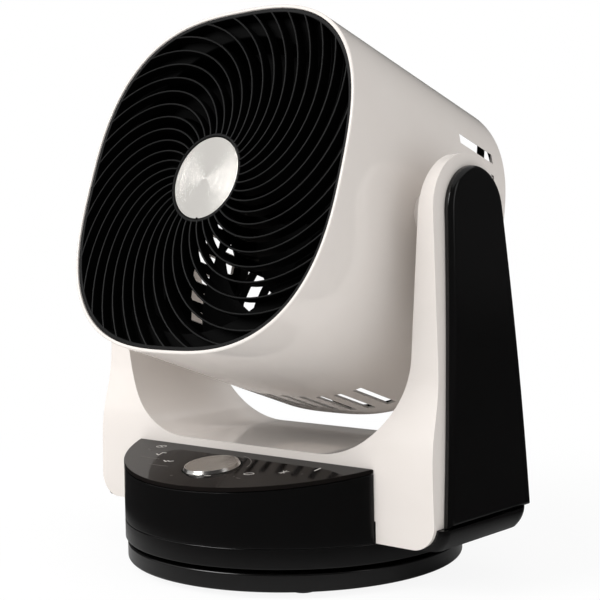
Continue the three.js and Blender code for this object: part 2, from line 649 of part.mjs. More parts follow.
// The part of a circle in front of (sign -1) or behind (sign 1) a straight edge at y.
function circleSegment(radius, edgeY, sign) {
  const half = Math.acos(Math.abs(edgeY) / radius);
  const middle = (sign * Math.PI) / 2;
  const shape = new THREE.Shape();
  shape.absarc(0, 0, radius, middle - half, middle + half, false);
  shape.closePath();
  return shape;
}

// Everything under a roof that slopes along Y.
function underRoof(heightAt, y0, y1, lowZ) {
  const shape = new THREE.Shape([
    new THREE.Vector2(y0, lowZ), new THREE.Vector2(y1, lowZ),
    new THREE.Vector2(y1, heightAt(y1)), new THREE.Vector2(y0, heightAt(y0)),
  ]);
  return pulledSideways(shape, -2 * TRAY_RADIUS, 2 * TRAY_RADIUS);
}

// The wide band under the arms, which draws in towards its foot. inset moves every side inwards.
function beltBlock(inset, z0, z1) {
  const half = beltHalfWidth - inset;
  const rear = YOKE_FOOT_REAR_Y - inset;
  const front = beltFrontY + inset;
  const [rc, fc] = [BELT_REAR_CORNER, BELT_FRONT_CORNER];
  const shape = new THREE.Shape();
  shape.moveTo(-half + fc, front);
  shape.lineTo(half - fc, front);
  shape.quadraticCurveTo(half, front, half, front + fc);
  shape.lineTo(half, rear - rc);
  shape.quadraticCurveTo(half, rear, half - rc, rear);
  shape.lineTo(-half + rc, rear);
  shape.quadraticCurveTo(-half, rear, -half, rear - rc);
  shape.lineTo(-half, front + fc);
  shape.quadraticCurveTo(-half, front, -half + fc, front);
  const geometry = new THREE.ExtrudeGeometry(shape,
    { depth: z1 - z0, bevelEnabled: false, curveSegments: 3, steps: 2 });
  const position = geometry.getAttribute('position');
  for (let i = 0; i < position.count; i++) {
    const fall = 1 - position.getZ(i) / (z1 - z0); // 0 at the top, 1 at the foot
    position.setX(i, position.getX(i) * (1 - (BELT_TUCK * fall * fall) / half));
  }
  return solid(geometry.translate(0, 0, z0));
}

function mainHousing() {
  const wall = HOUSING_WALL;
  const roofTop = (y) => panelTopZ(y) - PANEL_THICKNESS - SEAT_GAP;
  const frontHalf = pulledUp(circleSegment(TRAY_RADIUS, housingFrontBackY, -1), housingBottomZ, overRoofZ)
    .intersect(underRoof(roofTop, -2 * TRAY_RADIUS, housingFrontBackY, 0));
  const rearHalf = pulledUp(circleSegment(TRAY_RADIUS, rearHousingY, 1), housingBottomZ, overRoofZ)
    .intersect(underRoof(rearRoofZ, rearHousingY, 2 * TRAY_RADIUS, 0));
  const underArms = circleMiddle(TRAY_RADIUS, 0, housingBottomZ, beltTopZ);
  const belt = beltBlock(0, housingBottomZ, beltTopZ);
  const frontCore = pulledUp(circleSegment(TRAY_RADIUS - wall, housingFrontBackY - wall, -1), 0, overRoofZ);
  const rearCore = pulledUp(circleSegment(TRAY_RADIUS - wall, rearHousingY + wall, 1), 0, overRoofZ)
    .intersect(underRoof((y) => rearRoofZ(y) - wall, rearHousingY, 2 * TRAY_RADIUS, -1));
  const beltCore = beltBlock(wall, housingBottomZ, beltTopZ - wall)
    .add(circleMiddle(TRAY_RADIUS - wall, wall, housingBottomZ - 1, beltTopZ - wall));
  const floorPlate = beltBlock(wall / 2, housingBottomZ, housingBottomZ + wall)
    .subtract(cylinderUp(TRAY_RADIUS - wall, 0, overRoofZ, WIDE_SIDES));
  const flatBackHalf = Math.sqrt((TRAY_RADIUS - wall) ** 2 - (housingFrontBackY - wall) ** 2);
  const openingHalf = flatBackHalf - HOUSING_WEB;
  const middleOpening = block(-openingHalf, openingHalf, housingFrontBackY - 2 * wall,
    rearHousingY + 2 * wall, 0, beltTopZ + 1);
  const boss = cylinderUp(SCREW_BOSS_RADIUS, housingBottomZ, beltTopZ - 1, 8);
  const bossHole = cylinderUp(SCREW_RADIUS + SEAT_GAP, housingBottomZ - 1, beltTopZ - 3, SCREW_SIDES);
  const bossPlaces = trayScrewAngles.map((angle) => [...polar(trayScrewCircle, angle), 0]);
  const boreOut = cylinderBack(GLAND_RADIUS + SEAT_GAP, rearHousingY + 2 * wall, 2 * TRAY_RADIUS)
    .translate([0, 0, GLAND_Z]);
  const shell = cutBy(joined([frontHalf, rearHalf, underArms, belt]),
    [frontCore, rearCore, beltCore, middleOpening]);
  const floored = shell.add(floorPlate);
  const bossed = joined([floored, ...bossPlaces.map((place) => boss.translate(place))]);
  return cutBy(bossed, [boreOut, ...bossPlaces.map((place) => bossHole.translate(place))]);
}

// The round body's middle, between its flat-backed front half and the rear housing.
function circleMiddle(radius, inset, z0, z1) {
  const halfWidth = Math.sqrt(TRAY_RADIUS ** 2 - housingFrontBackY ** 2) - inset;
  return cylinderUp(radius, z0, z1, WIDE_SIDES).intersect(joined([
    block(-radius, radius, beltFrontY + inset, rearHousingY + 1, z0, z1),
    block(-halfWidth, halfWidth, housingFrontBackY - 1, beltFrontY + inset + 1, z0, z1),
  ]));
}

function controlPanel() {
  const radius = TRAY_RADIUS - PANEL_CHAMFER;
  const edge = housingFrontBackY - PANEL_CHAMFER;
  const geometry = new THREE.ExtrudeGeometry(circleSegment(radius, edge, -1), {
    depth: PANEL_THICKNESS - 2 * PANEL_CHAMFER, bevelEnabled: true, bevelThickness: PANEL_CHAMFER,
    bevelSize: PANEL_CHAMFER, bevelSegments: 1, curveSegments: 10,
  });
  const plate = solid(sloped(geometry, PANEL_THICKNESS - PANEL_CHAMFER));
  return plate.subtract(onPanel(
    cylinderUp(KNOB_RADIUS + KNOB_RING_GAP, -CUT_MARGIN, CUT_MARGIN, MEDIUM_SIDES)));
}

// Shears a flat plate so that its faces follow the panel, with its top depth below the panel's top face.
function sloped(geometry, depth) {
  const position = geometry.getAttribute('position');
  for (let i = 0; i < position.count; i++) {
    position.setZ(i, position.getZ(i) + panelTopZ(position.getY(i)) - depth);
  }
  return geometry;
}

// Moves a body from the panel's own frame, with its origin on the top face at the knob, to its place.
function onPanel(body) {
  return body.rotate([THREE.MathUtils.radToDeg(Math.atan(PANEL_SLOPE)), 0, 0])
    .translate([0, KNOB_Y, panelTopZ(KNOB_Y)]);
}

function controlBoard() {
  const wall = HOUSING_WALL + 1;
  const shape = circleSegment(TRAY_RADIUS - wall, housingFrontBackY - wall, -1);
  const geometry = new THREE.ExtrudeGeometry(shape,
    { depth: BOARD_THICKNESS, bevelEnabled: false, curveSegments: 8 });
  const depth = PANEL_THICKNESS + SEAT_GAP + BOARD_THICKNESS;
  return solid(sloped(geometry, depth))
    .subtract(onPanel(cylinderUp(ENCODER_BUSH_RADIUS + SEAT_GAP, -CUT_MARGIN, CUT_MARGIN)));
}

const powerBoardY = (rearHousingY + TRAY_RADIUS) / 2 - 1;

function powerBoardCorners() {
  const [w, d] = POWER_BOARD_SIZE;
  const [reachX, reachY] = [w / 2 - BOARD_HOLE_INSET, d / 2 - BOARD_HOLE_INSET];
  return [[-1, -1], [1, -1], [1, 1], [-1, 1]].map(([i, j]) => [i * reachX, powerBoardY + j * reachY]);
}

function powerBoard() {
  const bottom = trayFloorZ + BOARD_STANDOFF + SEAT_GAP;
  const top = bottom + BOARD_THICKNESS;
  const slab = ([w, d], z0, z1, [x, y]) => block(x - w / 2, x + w / 2, y - d / 2, y + d / 2, z0, z1);
  const standing = (size, place) => slab(size, top - WELD, top + size[2], place);
  const capacitor = cylinderUp(CAPACITOR_RADIUS, top - WELD, top + CAPACITOR_HEIGHT, MEDIUM_SIDES)
    .translate([...CAPACITOR_PLACE, 0]);
  return joined([
    slab(POWER_BOARD_SIZE, bottom, top, [0, 0]),
    standing(TRANSFORMER_SIZE, TRANSFORMER_PLACE),
    capacitor,
    standing(TERMINAL_SIZE, TERMINAL_PLACE),
  ]).translate([0, powerBoardY, 0]);
}

function cableGland() {
  const seatY = TRAY_RADIUS + SEAT_GAP;
  const innerEndY = TRAY_RADIUS - 2 * HOUSING_WALL;
  return turnedBack([
    [GLAND_BORE_RADIUS, innerEndY], [GLAND_RADIUS, innerEndY], [GLAND_RADIUS, seatY],
    [GLAND_RADIUS + GLAND_FLANGE, seatY], [GLAND_RADIUS + GLAND_FLANGE, seatY + GLAND_FLANGE_THICKNESS],
    [GLAND_BORE_RADIUS, seatY + GLAND_FLANGE_THICKNESS], [GLAND_BORE_RADIUS, innerEndY],
  ], SMALL_SIDES).translate([0, 0, GLAND_Z]);
}

// ---------------------------------------------------------------- knob and encoder

const knobBottom = -KNOB_DEPTH;
const recessTop = KNOB_PROUD - KNOB_RECESS_ROOF;
const shaftTop = KNOB_PROUD - KNOB_FACE - SEAT_GAP;
const boardTop = -PANEL_THICKNESS - SEAT_GAP;
const encoderTop = boardTop - BOARD_THICKNESS - SEAT_GAP;
const encoderBottom = encoderTop - ENCODER_HEIGHT;
const plungerTop = encoderTop - PLUNGER_SINK;
const plungerRadius = ENCODER_BUSH_RADIUS - ENCODER_BUSH_WALL;
const plungerBottom = encoderBottom + KNOB_TRAVEL + SEAT_GAP;

function controlKnob() {
  const boreRadius = ENCODER_SHAFT_RADIUS + SEAT_GAP;
  const recessRadius = ENCODER_BUSH_RADIUS + SLIDE_GAP;
  const disc = turnedUp([
    [0, shaftTop + SEAT_GAP], [boreRadius, shaftTop + SEAT_GAP], [boreRadius, recessTop],
    [recessRadius, recessTop], [recessRadius, knobBottom], [KNOB_RADIUS - KNOB_TAPER, knobBottom],
    [KNOB_RADIUS, KNOB_PROUD - KNOB_CHAMFER], [KNOB_RADIUS - KNOB_CHAMFER, KNOB_PROUD],
    [0, KNOB_PROUD],
  ], MEDIUM_SIDES);
  const dimple = turnedUp([
    [0, KNOB_PROUD - KNOB_DIMPLE_DEPTH], [KNOB_DIMPLE_RADIUS * 0.7, KNOB_PROUD - KNOB_DIMPLE_DEPTH * 0.6],
    [KNOB_DIMPLE_RADIUS, KNOB_PROUD + 0.01], [0, KNOB_PROUD + 1],
  ], SMALL_SIDES).translate([...polar(KNOB_DIMPLE_OFFSET, KNOB_DIMPLE_DIRECTION), 0]);
  return onPanel(disc.subtract(dimple));
}

const encoderShaft = () => onPanel(
  cylinderUp(ENCODER_SHAFT_RADIUS, plungerTop + SEAT_GAP, shaftTop));

const encoderPlunger = () => onPanel(
  cylinderUp(plungerRadius, plungerBottom, plungerTop));

function encoderBody() {
  const half = ENCODER_SIZE / 2;
  const body = joined([
    block(-half, half, -half, half, encoderBottom, encoderTop),
    cylinderUp(ENCODER_BUSH_RADIUS, encoderTop - 1, knobBottom + ENCODER_BUSH_REACH),
  ]);
  return onPanel(cutBy(body, [
    cylinderUp(ENCODER_SHAFT_RADIUS + SLIDE_GAP, encoderBottom, knobBottom + 1),
    cylinderUp(plungerRadius + SLIDE_GAP, encoderBottom - 1, plungerTop + KNOB_TRAVEL),
  ]));
}

// ---------------------------------------------------------------- yoke and covers

const armTopZ = PIVOT_Z + ARM_RADIUS;
const armTaper = (YOKE_FOOT_HALF_WIDTH - YOKE_TOP_HALF_WIDTH) / (armTopZ - yokeBottomZ);
const outerFaceX = (z) => YOKE_TOP_HALF_WIDTH + armTaper * (armTopZ - z);
const innerFaceX = (z) => ARM_GAP_HALF_WIDTH - (PIVOT_Z - z) * Math.tan(ARM_INNER_DRAFT);

// The U from the front, in (x, z). inset thins it from both sides.
function yokeFrontOutline(inset, bottomZ) {
  const topZ = armTopZ + 1;
  const radius = SADDLE_CORNER_RADIUS + inset;
  const centreZ = SADDLE_Z + SADDLE_CORNER_RADIUS;
  const centreX = innerFaceX(centreZ) - SADDLE_CORNER_RADIUS / Math.cos(ARM_INNER_DRAFT);
  const shape = new THREE.Shape();
  shape.moveTo(-outerFaceX(bottomZ) + inset, bottomZ);
  shape.lineTo(outerFaceX(bottomZ) - inset, bottomZ);
  shape.lineTo(outerFaceX(topZ) - inset, topZ);
  shape.lineTo(innerFaceX(topZ) + inset, topZ);
  shape.absarc(centreX, centreZ, radius, -ARM_INNER_DRAFT, -Math.PI / 2, true);
  shape.absarc(-centreX, centreZ, radius, -Math.PI / 2, -Math.PI + ARM_INNER_DRAFT, true);
  shape.lineTo(-innerFaceX(topZ) - inset, topZ);
  shape.lineTo(-outerFaceX(topZ) + inset, topZ);
  shape.closePath();
  return shape;
}

// Over the round top of an arm and down its rear edge, in (y, z).
function overTheTop(shape, centreY, radius, footRearY, bottomZ) {
  shape.absarc(centreY, PIVOT_Z, radius, Math.PI, ARM_REAR_LEAN, true);
  const startY = centreY + radius * Math.cos(ARM_REAR_LEAN);
  const startZ = PIVOT_Z + radius * Math.sin(ARM_REAR_LEAN);
  shape.quadraticCurveTo(startY + ARM_BEND_DROP * Math.sin(ARM_REAR_LEAN),
    startZ - ARM_BEND_DROP * Math.cos(ARM_REAR_LEAN), footRearY, bottomZ);
  shape.closePath();
  return shape;
}

function armSideOutline(inset, bottomZ) {
  const shape = new THREE.Shape();
  const bottomY = YOKE_FRONT_Y + inset;
  const topY = -ARM_RADIUS + inset;
  const middleZ = (ARM_FRONT_BEND_Z + ARM_FRONT_TOP_Z) / 2;
  shape.moveTo(bottomY, bottomZ);
  shape.lineTo(bottomY, ARM_FRONT_BEND_Z);
  shape.bezierCurveTo(bottomY, middleZ, topY, middleZ, topY, ARM_FRONT_TOP_Z);
  return overTheTop(shape, 0, ARM_RADIUS - inset, YOKE_FOOT_REAR_Y - inset, bottomZ);
}

function coverOutline(inset, bottomZ) {
  const shape = new THREE.Shape();
  const middleZ = (bottomZ + PIVOT_Z) / 2;
  const topY = COVER_CENTRE_Y - COVER_RADIUS + inset;
  const footY = COVER_FOOT_FRONT_Y + inset;
  shape.moveTo(footY, bottomZ);
  shape.quadraticCurveTo((topY + footY) / 2 + COVER_FRONT_BOW, middleZ, topY, PIVOT_Z);
  return overTheTop(shape, COVER_CENTRE_Y, COVER_RADIUS - inset, COVER_FOOT_REAR_Y - inset, bottomZ);
}

function yokeToes() {
  const innerX = Math.sqrt(TRAY_RADIUS ** 2 - housingFrontBackY ** 2) + 2 * SEAT_GAP;
  const outerX = YOKE_FOOT_HALF_WIDTH;
  const topZ = yokeBottomZ + 10;
  const shape = new THREE.Shape();
  shape.moveTo(innerX, topZ);
  shape.lineTo(innerX, housingBottomZ);
  shape.lineTo(outerX - YOKE_TOE_CORNER, housingBottomZ);
  shape.absarc(outerX - YOKE_TOE_CORNER, housingBottomZ + YOKE_TOE_CORNER, YOKE_TOE_CORNER,
    -Math.PI / 2, 0, false);
  shape.lineTo(outerFaceX(topZ), topZ);
  return joined(bothSides(pulledBack(shape, YOKE_FRONT_Y, YOKE_FRONT_Y + YOKE_TOE_THICKNESS, 4)));
}

function yokeFrame() {
  const [farFront, farRear] = [2 * YOKE_FRONT_Y, 2 * YOKE_FOOT_REAR_Y];
  const wide = YOKE_FOOT_HALF_WIDTH + CUT_MARGIN;
  const lowZ = yokeBottomZ - CUT_MARGIN;
  const outside = pulledBack(yokeFrontOutline(0, yokeBottomZ), farFront, farRear, 4)
    .intersect(pulledSideways(armSideOutline(0, yokeBottomZ), -wide, wide, 4));
  const inside = pulledBack(yokeFrontOutline(YOKE_WALL, lowZ), farFront, farRear, 4)
    .intersect(pulledSideways(armSideOutline(YOKE_WALL, lowZ), -wide, wide, 4));
  const windowBottomZ = yokeBottomZ + ARM_WINDOW_MARGIN;
  const armWindow = pulledSideways(coverOutline(ARM_WINDOW_MARGIN, windowBottomZ),
    armBossEndX, wide, 4);
  const boss = disc(ARM_BOSS_RADIUS, armSeatX, armBossEndX);
  const bore = disc(boreFor(AXLE_RADIUS, SMALL_SIDES) + BUSH_WALL + SEAT_GAP, armSeatX - 1, wide);
  const shell = cutBy(outside, [inside, ...bothSides(armWindow)]);
  return cutBy(joined([shell, yokeToes(), ...bothSides(boss)]), bothSides(bore));
}

// A disc across X at the height of the pivots, on the right side.
const disc = (radius, x0, x1) =>
  turnedSideways([[0, x0], [radius, x0], [radius, x1], [0, x1]], SMALL_SIDES, 1)
    .translate([0, 0, PIVOT_Z]);
const bothSides = (body) => [body, body.mirror([1, 0, 0])];

// Leans a cover's flat sides so that they follow the arm's outer face.
function leaned(geometry) {
  const position = geometry.getAttribute('position');
  for (let i = 0; i < position.count; i++) {
    position.setX(i, position.getX(i) + outerFaceX(position.getZ(i)) - YOKE_TOP_HALF_WIDTH);
  }
  return solid(geometry);
}

function sideCover(side) {
  const backX = YOKE_TOP_HALF_WIDTH + SEAT_GAP; // upright here, then leaned with the arm
  const faceX = YOKE_TOP_HALF_WIDTH + COVER_PROUD;
  const round = COVER_EDGE_RADIUS;
  const outer = new THREE.ExtrudeGeometry(coverOutline(round, yokeBottomZ + round), {
    depth: COVER_PROUD, bevelEnabled: true, bevelThickness: round, bevelSize: round, bevelSegments: 2,
    curveSegments: 5,
  });
  outer.applyMatrix4(sidewaysAxes).translate(faceX - round - COVER_PROUD, 0, 0);
  const inner = new THREE.ExtrudeGeometry(coverOutline(COVER_WALL + 1, yokeBottomZ + COVER_WALL + 1), {
    depth: backX, bevelEnabled: false, curveSegments: 4,
  });
  inner.applyMatrix4(sidewaysAxes).translate(faceX - COVER_WALL - backX, 0, 0);
  const behind = new THREE.BoxGeometry(backX, 2 * HEAD_DEPTH, 2 * PIVOT_Z).translate(backX / 2, 0, PIVOT_Z);
  const cover = cutBy(leaned(outer), [leaned(inner), leaned(behind)]);
  return side > 0 ? cover : cover.mirror([1, 0, 0]);
}

// ---------------------------------------------------------------- head

const openingHalfAt = (y) => headHalfAt(y) - SHELL_WALL + SHELL_RABBET;

function headShell() {
  const inside = (y) => headHalfAt(y) - SHELL_WALL;
  const frontSeat = frontY + FRONT_SEAT_DEPTH;
  const rearSeat = rearY - REAR_SEAT_DEPTH;
  const shell = softSquareTurn([
    [openingHalfAt(frontY), frontY], [headHalfAt(frontY), frontY],
    [headHalfAt(rearY), rearY], [openingHalfAt(rearY), rearY],
    [openingHalfAt(rearSeat), rearSeat], [inside(rearSeat), rearSeat],
    [inside(frontSeat), frontSeat], [openingHalfAt(frontSeat), frontSeat],
    [openingHalfAt(frontY), frontY],
  ]);
  const bossProfile = [[0, bossInnerX], [BOSS_RADIUS, bossInnerX], [BOSS_RADIUS, bossOuterX],
    [0, bossOuterX]];
  const boreRadius = AXLE_RADIUS + SEAT_GAP;
  const boreEndX = 2 * bossOuterX;
  const boreProfile = [[0, 0], [boreRadius, 0], [boreRadius, boreEndX], [0, boreEndX]];
  const bosses = [1, -1].map((side) => turnedSideways(bossProfile, MEDIUM_SIDES, side));
  const bores = [1, -1].map((side) => turnedSideways(boreProfile, SMALL_SIDES, side));
  return cutBy(joined([shell, ...bosses]), [...bores, ...ventSlots()]);
}

function ventSlots() {
  const half = SLOT_WIDTH / 2;
  const slot = block(-half, half, frontY + SLOT_FROM, frontY + SLOT_TO,
    headHalfAt(0) - SLOT_CUT_DEPTH, HEAD_HALF_REAR + CUT_MARGIN);
  const slots = [];
  for (let k = 0; k < SLOT_COUNT; k++) {
    const shifted = slot.translate([(k - (SLOT_COUNT - 1) / 2) * SLOT_PITCH, 0, 0]);
    slots.push(...aroundY(4, shifted));
  }
  return slots;
}

// One rib of the spiral, from the hub to the soft square of a half size. Its turn grows with a power of
// its way out from the hub; seen from the front it climbs counter-clockwise.
function ribShape(hubRadius, endHalf, steps, startAngle) {
  const angleAt = (radius) => {
    const along = Math.max(0, radius - hubRadius) / (RIB_REFERENCE_RADIUS - hubRadius);
    return startAngle + RIB_SWEEP * along ** RIB_CURL;
  };
  let endRadius = endHalf;
  for (let k = 0; k < 12; k++) endRadius = endHalf * softSquare(angleAt(endRadius));
  const startRadius = hubRadius - 1;
  const [rightSide, leftSide] = [[], []];
  for (let k = 0; k <= steps; k++) {
    const radius = startRadius + ((endRadius - startRadius) * k) / steps;
    const here = new THREE.Vector2(...polar(radius, angleAt(radius)));
    const ahead = new THREE.Vector2(...polar(radius + 0.5, angleAt(radius + 0.5)));
    const across = ahead.sub(here).normalize().multiplyScalar(RIB_THICKNESS / 2);
    rightSide.push(new THREE.Vector2(here.x + across.y, here.y - across.x));
    leftSide.unshift(new THREE.Vector2(here.x - across.y, here.y + across.x));
  }
  return new THREE.Shape([...rightSide, ...leftSide]);
}

function spiralRibs(count, hubRadius, endHalf, steps, y0, y1) {
  return Array.from({ length: count }, (_, k) =>
    pulledBack(ribShape(hubRadius, endHalf, steps, (2 * Math.PI * k) / count), y0, y1));
}

function frontGrille() {
  const outer = openingHalfAt(frontY) - SEAT_GAP;
  const inner = outer - GRILLE_RIM;
  const rimRearY = ductFrontY - SEAT_GAP;
  const rim = softSquareTurn([
    [inner, ribFrontY], [outer, ribFrontY], [outer, rimRearY], [inner, rimRearY], [inner, ribFrontY]]);
  const hub = cylinderBack(GRILLE_HUB_RADIUS, ribFrontY, hubPlateFrontY + GRILLE_HUB_PLATE, CAP_SIDES);
  const recess = cylinderBack(CAP_RADIUS + SEAT_GAP, frontY - 1, hubPlateFrontY, CAP_SIDES);
  const key = cylinderBack(CAP_NOTCH_RADIUS, ribFrontY, hubPlateFrontY + 1, 6)
    .translate([0, 0, -CAP_RADIUS - SEAT_GAP]);
  const ribs = spiralRibs(FRONT_RIB_COUNT, GRILLE_HUB_RADIUS, outer - GRILLE_RIM / 2, FRONT_RIB_STEPS,
    ribFrontY, ribFrontY + RIB_DEPTH);
  return joined([joined([rim, hub, ...ribs]).subtract(recess), key]);
}

function centreCap() {
  const face = frontY + CAP_SINK;
  const back = face + CAP_THICKNESS;
  const disc = turnedBack([
    [0, face], [CAP_RADIUS - CAP_CHAMFER, face], [CAP_RADIUS, face + CAP_CHAMFER], [CAP_RADIUS, back],
    [0, back],
  ], CAP_SIDES);
  const notch = cylinderBack(CAP_NOTCH_RADIUS + SEAT_GAP, face - 1, back + 1, 8)
    .translate([0, 0, -CAP_RADIUS - SEAT_GAP]);
  return disc.subtract(notch);
}

function rearGrille() {
  const rear = rearY - SEAT_GAP;
  const seat = rearY - REAR_SEAT_DEPTH + SEAT_GAP;
  const outer = openingHalfAt(seat) - SEAT_GAP;
  const inner = outer - GRILLE_RIM;
  const rim = softSquareTurn([[inner, seat], [outer, seat], [outer, rear], [inner, rear], [inner, seat]]);
  const hub = cylinderBack(REAR_HUB_RADIUS, rear - RIB_DEPTH, rear, MEDIUM_SIDES);
  const ribs = spiralRibs(REAR_RIB_COUNT, REAR_HUB_RADIUS, outer - GRILLE_RIM / 2, REAR_RIB_STEPS,
    rear - RIB_DEPTH, rear);
  return joined([rim, hub, ...ribs]);
}

// A round tube with a soft-square flange at the front.
function airDuct() {
  const flangeHalf = openingHalfAt(frontY) - SEAT_GAP;
  const [inner, outer] = [DUCT_RADIUS, DUCT_RADIUS + DUCT_WALL];
  const flangeRearY = ductFrontY + DUCT_WALL;
  return softSquareTurn([
    [inner, ductFrontY], [flangeHalf, ductFrontY], [flangeHalf, flangeRearY], [outer, flangeRearY],
    [outer, ductRearY], [inner, ductRearY], [inner, ductFrontY],
  ], outer);
}

// One blade as a thick curved sheet between a root and a tip chord.
function bladeGeometry() {
  const [alongSteps, acrossSteps] = [4, 3];
  const positions = [];
  const rootRadius = HUB_RADIUS - 1;
  const middleY = (impellerFrontY + impellerRearY) / 2;
  for (const face of [-1, 1]) {
    for (let i = 0; i <= alongSteps; i++) {
      const along = i / alongSteps;
      const radius = rootRadius + (BLADE_TIP_RADIUS - rootRadius) * along;
      const height = BLADE_ROOT_HEIGHT + (BLADE_TIP_HEIGHT - BLADE_ROOT_HEIGHT) * along;
      const chord = BLADE_ROOT_ANGLE + (BLADE_TIP_ANGLE - BLADE_ROOT_ANGLE) * along;
      for (let j = 0; j <= acrossSteps; j++) {
        const across = j / acrossSteps - 0.5;
        const angle = BLADE_SWEEP * along * along + chord * across;
        const arch = BLADE_CAMBER * (1 - 4 * across * across);
        const edge = Math.abs(across) > 0.49 ? BLADE_EDGE_TAPER : 1;
        const [x, z] = polar(radius, angle);
        positions.push(x, middleY - height * across - arch + (face * edge * BLADE_THICKNESS) / 2, z);
      }
    }
  }
  const geometry = new THREE.BufferGeometry();
  geometry.setAttribute('position', new THREE.Float32BufferAttribute(positions, 3));
  geometry.setIndex(sheetFaces(alongSteps, acrossSteps));
  return geometry;
}

// Triangles of a closed sheet: two grids of points and the strip that joins their edges.
function sheetFaces(rows, columns) {
  const width = columns + 1;
  const layer = (rows + 1) * width;
  const faces = [];
  const quad = (a, b, c, d) => faces.push(a, b, c, a, c, d);
  for (let i = 0; i < rows; i++) {
    for (let j = 0; j < columns; j++) {
      const a = i * width + j;
      quad(a, a + 1, a + width + 1, a + width);
      quad(layer + a, layer + a + width, layer + a + width + 1, layer + a + 1);
    }
  }
  for (let i = 0; i < rows; i++) {
    const [a, b] = [i * width, i * width + columns];
    quad(a, a + width, layer + a + width, layer + a);
    quad(b, layer + b, layer + b + width, b + width);
  }
  for (let j = 0; j < columns; j++) {
    const [a, b] = [j, rows * width + j];
    quad(a, layer + a, layer + a + 1, a + 1);
    quad(b, b + 1, layer + b + 1, layer + b);
  }
  return faces;
}

function impeller() {
  const skin = HUB_RADIUS - HUB_WALL;
  const front = impellerFrontY;
  const bore = SHAFT_RADIUS + SEAT_GAP;
  const floorY = front + HUB_DOME + HUB_WALL;
  const hub = turnedBack([
    [bore, front], [HUB_NOSE_RADIUS, front], [HUB_RADIUS, front + HUB_DOME], [HUB_RADIUS, impellerRearY],
    [skin, impellerRearY], [skin, floorY], [bore + HUB_WALL, floorY], [bore + HUB_WALL, impellerRearY],
    [bore, impellerRearY], [bore, front],
  ], MEDIUM_SIDES);
  const core = cylinderBack(skin + 1, front - CUT_MARGIN, impellerRearY + CUT_MARGIN, MEDIUM_SIDES);
  const blade = solid(bladeGeometry()).subtract(core);
  return joined([hub, ...aroundY(BLADE_COUNT, blade, BLADE_PHASE)]);
}

const motorShaft = () => cylinderBack(SHAFT_RADIUS, impellerFrontY - NUT_LENGTH - 1, motorRearY - 1);

function impellerNut() {
  const [front, rear] = [impellerFrontY - SEAT_GAP - NUT_LENGTH, impellerFrontY - SEAT_GAP];
  return turnedBack([
    [SHAFT_RADIUS + SEAT_GAP, front], [NUT_RADIUS - NUT_CHAMFER, front], [NUT_RADIUS, front + NUT_CHAMFER],
    [NUT_RADIUS, rear],
    [SHAFT_RADIUS + SEAT_GAP, rear], [SHAFT_RADIUS + SEAT_GAP, front],
  ], SMALL_SIDES);
}

const bracketFrontY = ductRearY + SEAT_GAP;
const bracketRearY = bracketFrontY + BRACKET_THICKNESS;

function motorHousing() {
  const [front, rear] = [motorFrontY, motorRearY];
  const flangeY = bracketRearY + SEAT_GAP;
  const bore = SHAFT_RADIUS + 2 * SEAT_GAP;
  const pocket = BEARING_RADIUS + SEAT_GAP;
  const rim = MOTOR_RADIUS + MOTOR_FLANGE;
  const body = turnedBack([
    [pocket, front], [MOTOR_RADIUS - MOTOR_CHAMFER, front], [MOTOR_RADIUS, front + MOTOR_CHAMFER],
    [MOTOR_RADIUS, flangeY], [rim, flangeY], [rim, flangeY + MOTOR_FLANGE_THICKNESS],
    [MOTOR_RADIUS, flangeY + MOTOR_FLANGE_THICKNESS], [MOTOR_RADIUS, rear], [pocket, rear],
    [pocket, rear - BEARING_WIDTH - SEAT_GAP], [bore, rear - BEARING_WIDTH - SEAT_GAP],
    [bore, front + BEARING_WIDTH + SEAT_GAP], [pocket, front + BEARING_WIDTH + SEAT_GAP],
    [pocket, front],
  ], MOTOR_SIDES);
  const hole = cylinderBack(SCREW_RADIUS + SEAT_GAP, flangeY - 1, flangeY + MOTOR_FLANGE_THICKNESS + 1,
    SCREW_SIDES);
  return cutBy(body, motorScrewAngles.map((angle) => hole.translate(motorScrewPlace(angle))));
}

const motorScrewAngles = [0, 120, 240].map(degrees);

function motorScrewPlace(angle) {
  const [x, z] = polar(MOTOR_RADIUS + MOTOR_FLANGE / 2, angle);
  return [x, 0, z];
}

function motorScrew(angle) {
  const flangeRear = bracketRearY + SEAT_GAP + MOTOR_FLANGE_THICKNESS;
  const top = flangeRear + SEAT_GAP + SCREW_HEAD_HEIGHT;
  return screwUp(0, SHORT_SCREW_LENGTH).rotate([90, 0, 0]).translate([0, top, 0])
    .translate(motorScrewPlace(angle));
}

const bearing = (y) => ringBack(SHAFT_RADIUS + SEAT_GAP, BEARING_RADIUS, y, y + BEARING_WIDTH, SMALL_SIDES);

// A ring round the motor with arms that end in feet on the duct's rear edge.
function motorBracket() {
  const inner = MOTOR_RADIUS + SEAT_GAP;
  const [front, rear] = [bracketFrontY, bracketRearY];
  const ring = ringBack(inner, inner + BRACKET_RING_WIDTH, front, rear, MOTOR_SIDES);
  const half = BRACKET_ARM_WIDTH / 2;
  const reach = DUCT_RADIUS + DUCT_WALL;
  const arm = block(inner + 2, reach, front, rear, -half, half)
    .add(block(reach - BRACKET_FOOT, reach, front, rear, -BRACKET_ARM_WIDTH, BRACKET_ARM_WIDTH));
  const hole = cylinderBack(SCREW_RADIUS + SEAT_GAP, rear - 6, rear + 1, SCREW_SIDES);
  return cutBy(joined([ring, ...aroundY(BRACKET_ARMS, arm, degrees(60))]),
    motorScrewAngles.map((angle) => hole.translate(motorScrewPlace(angle))));
}

// ---------------------------------------------------------------- tilt pivots

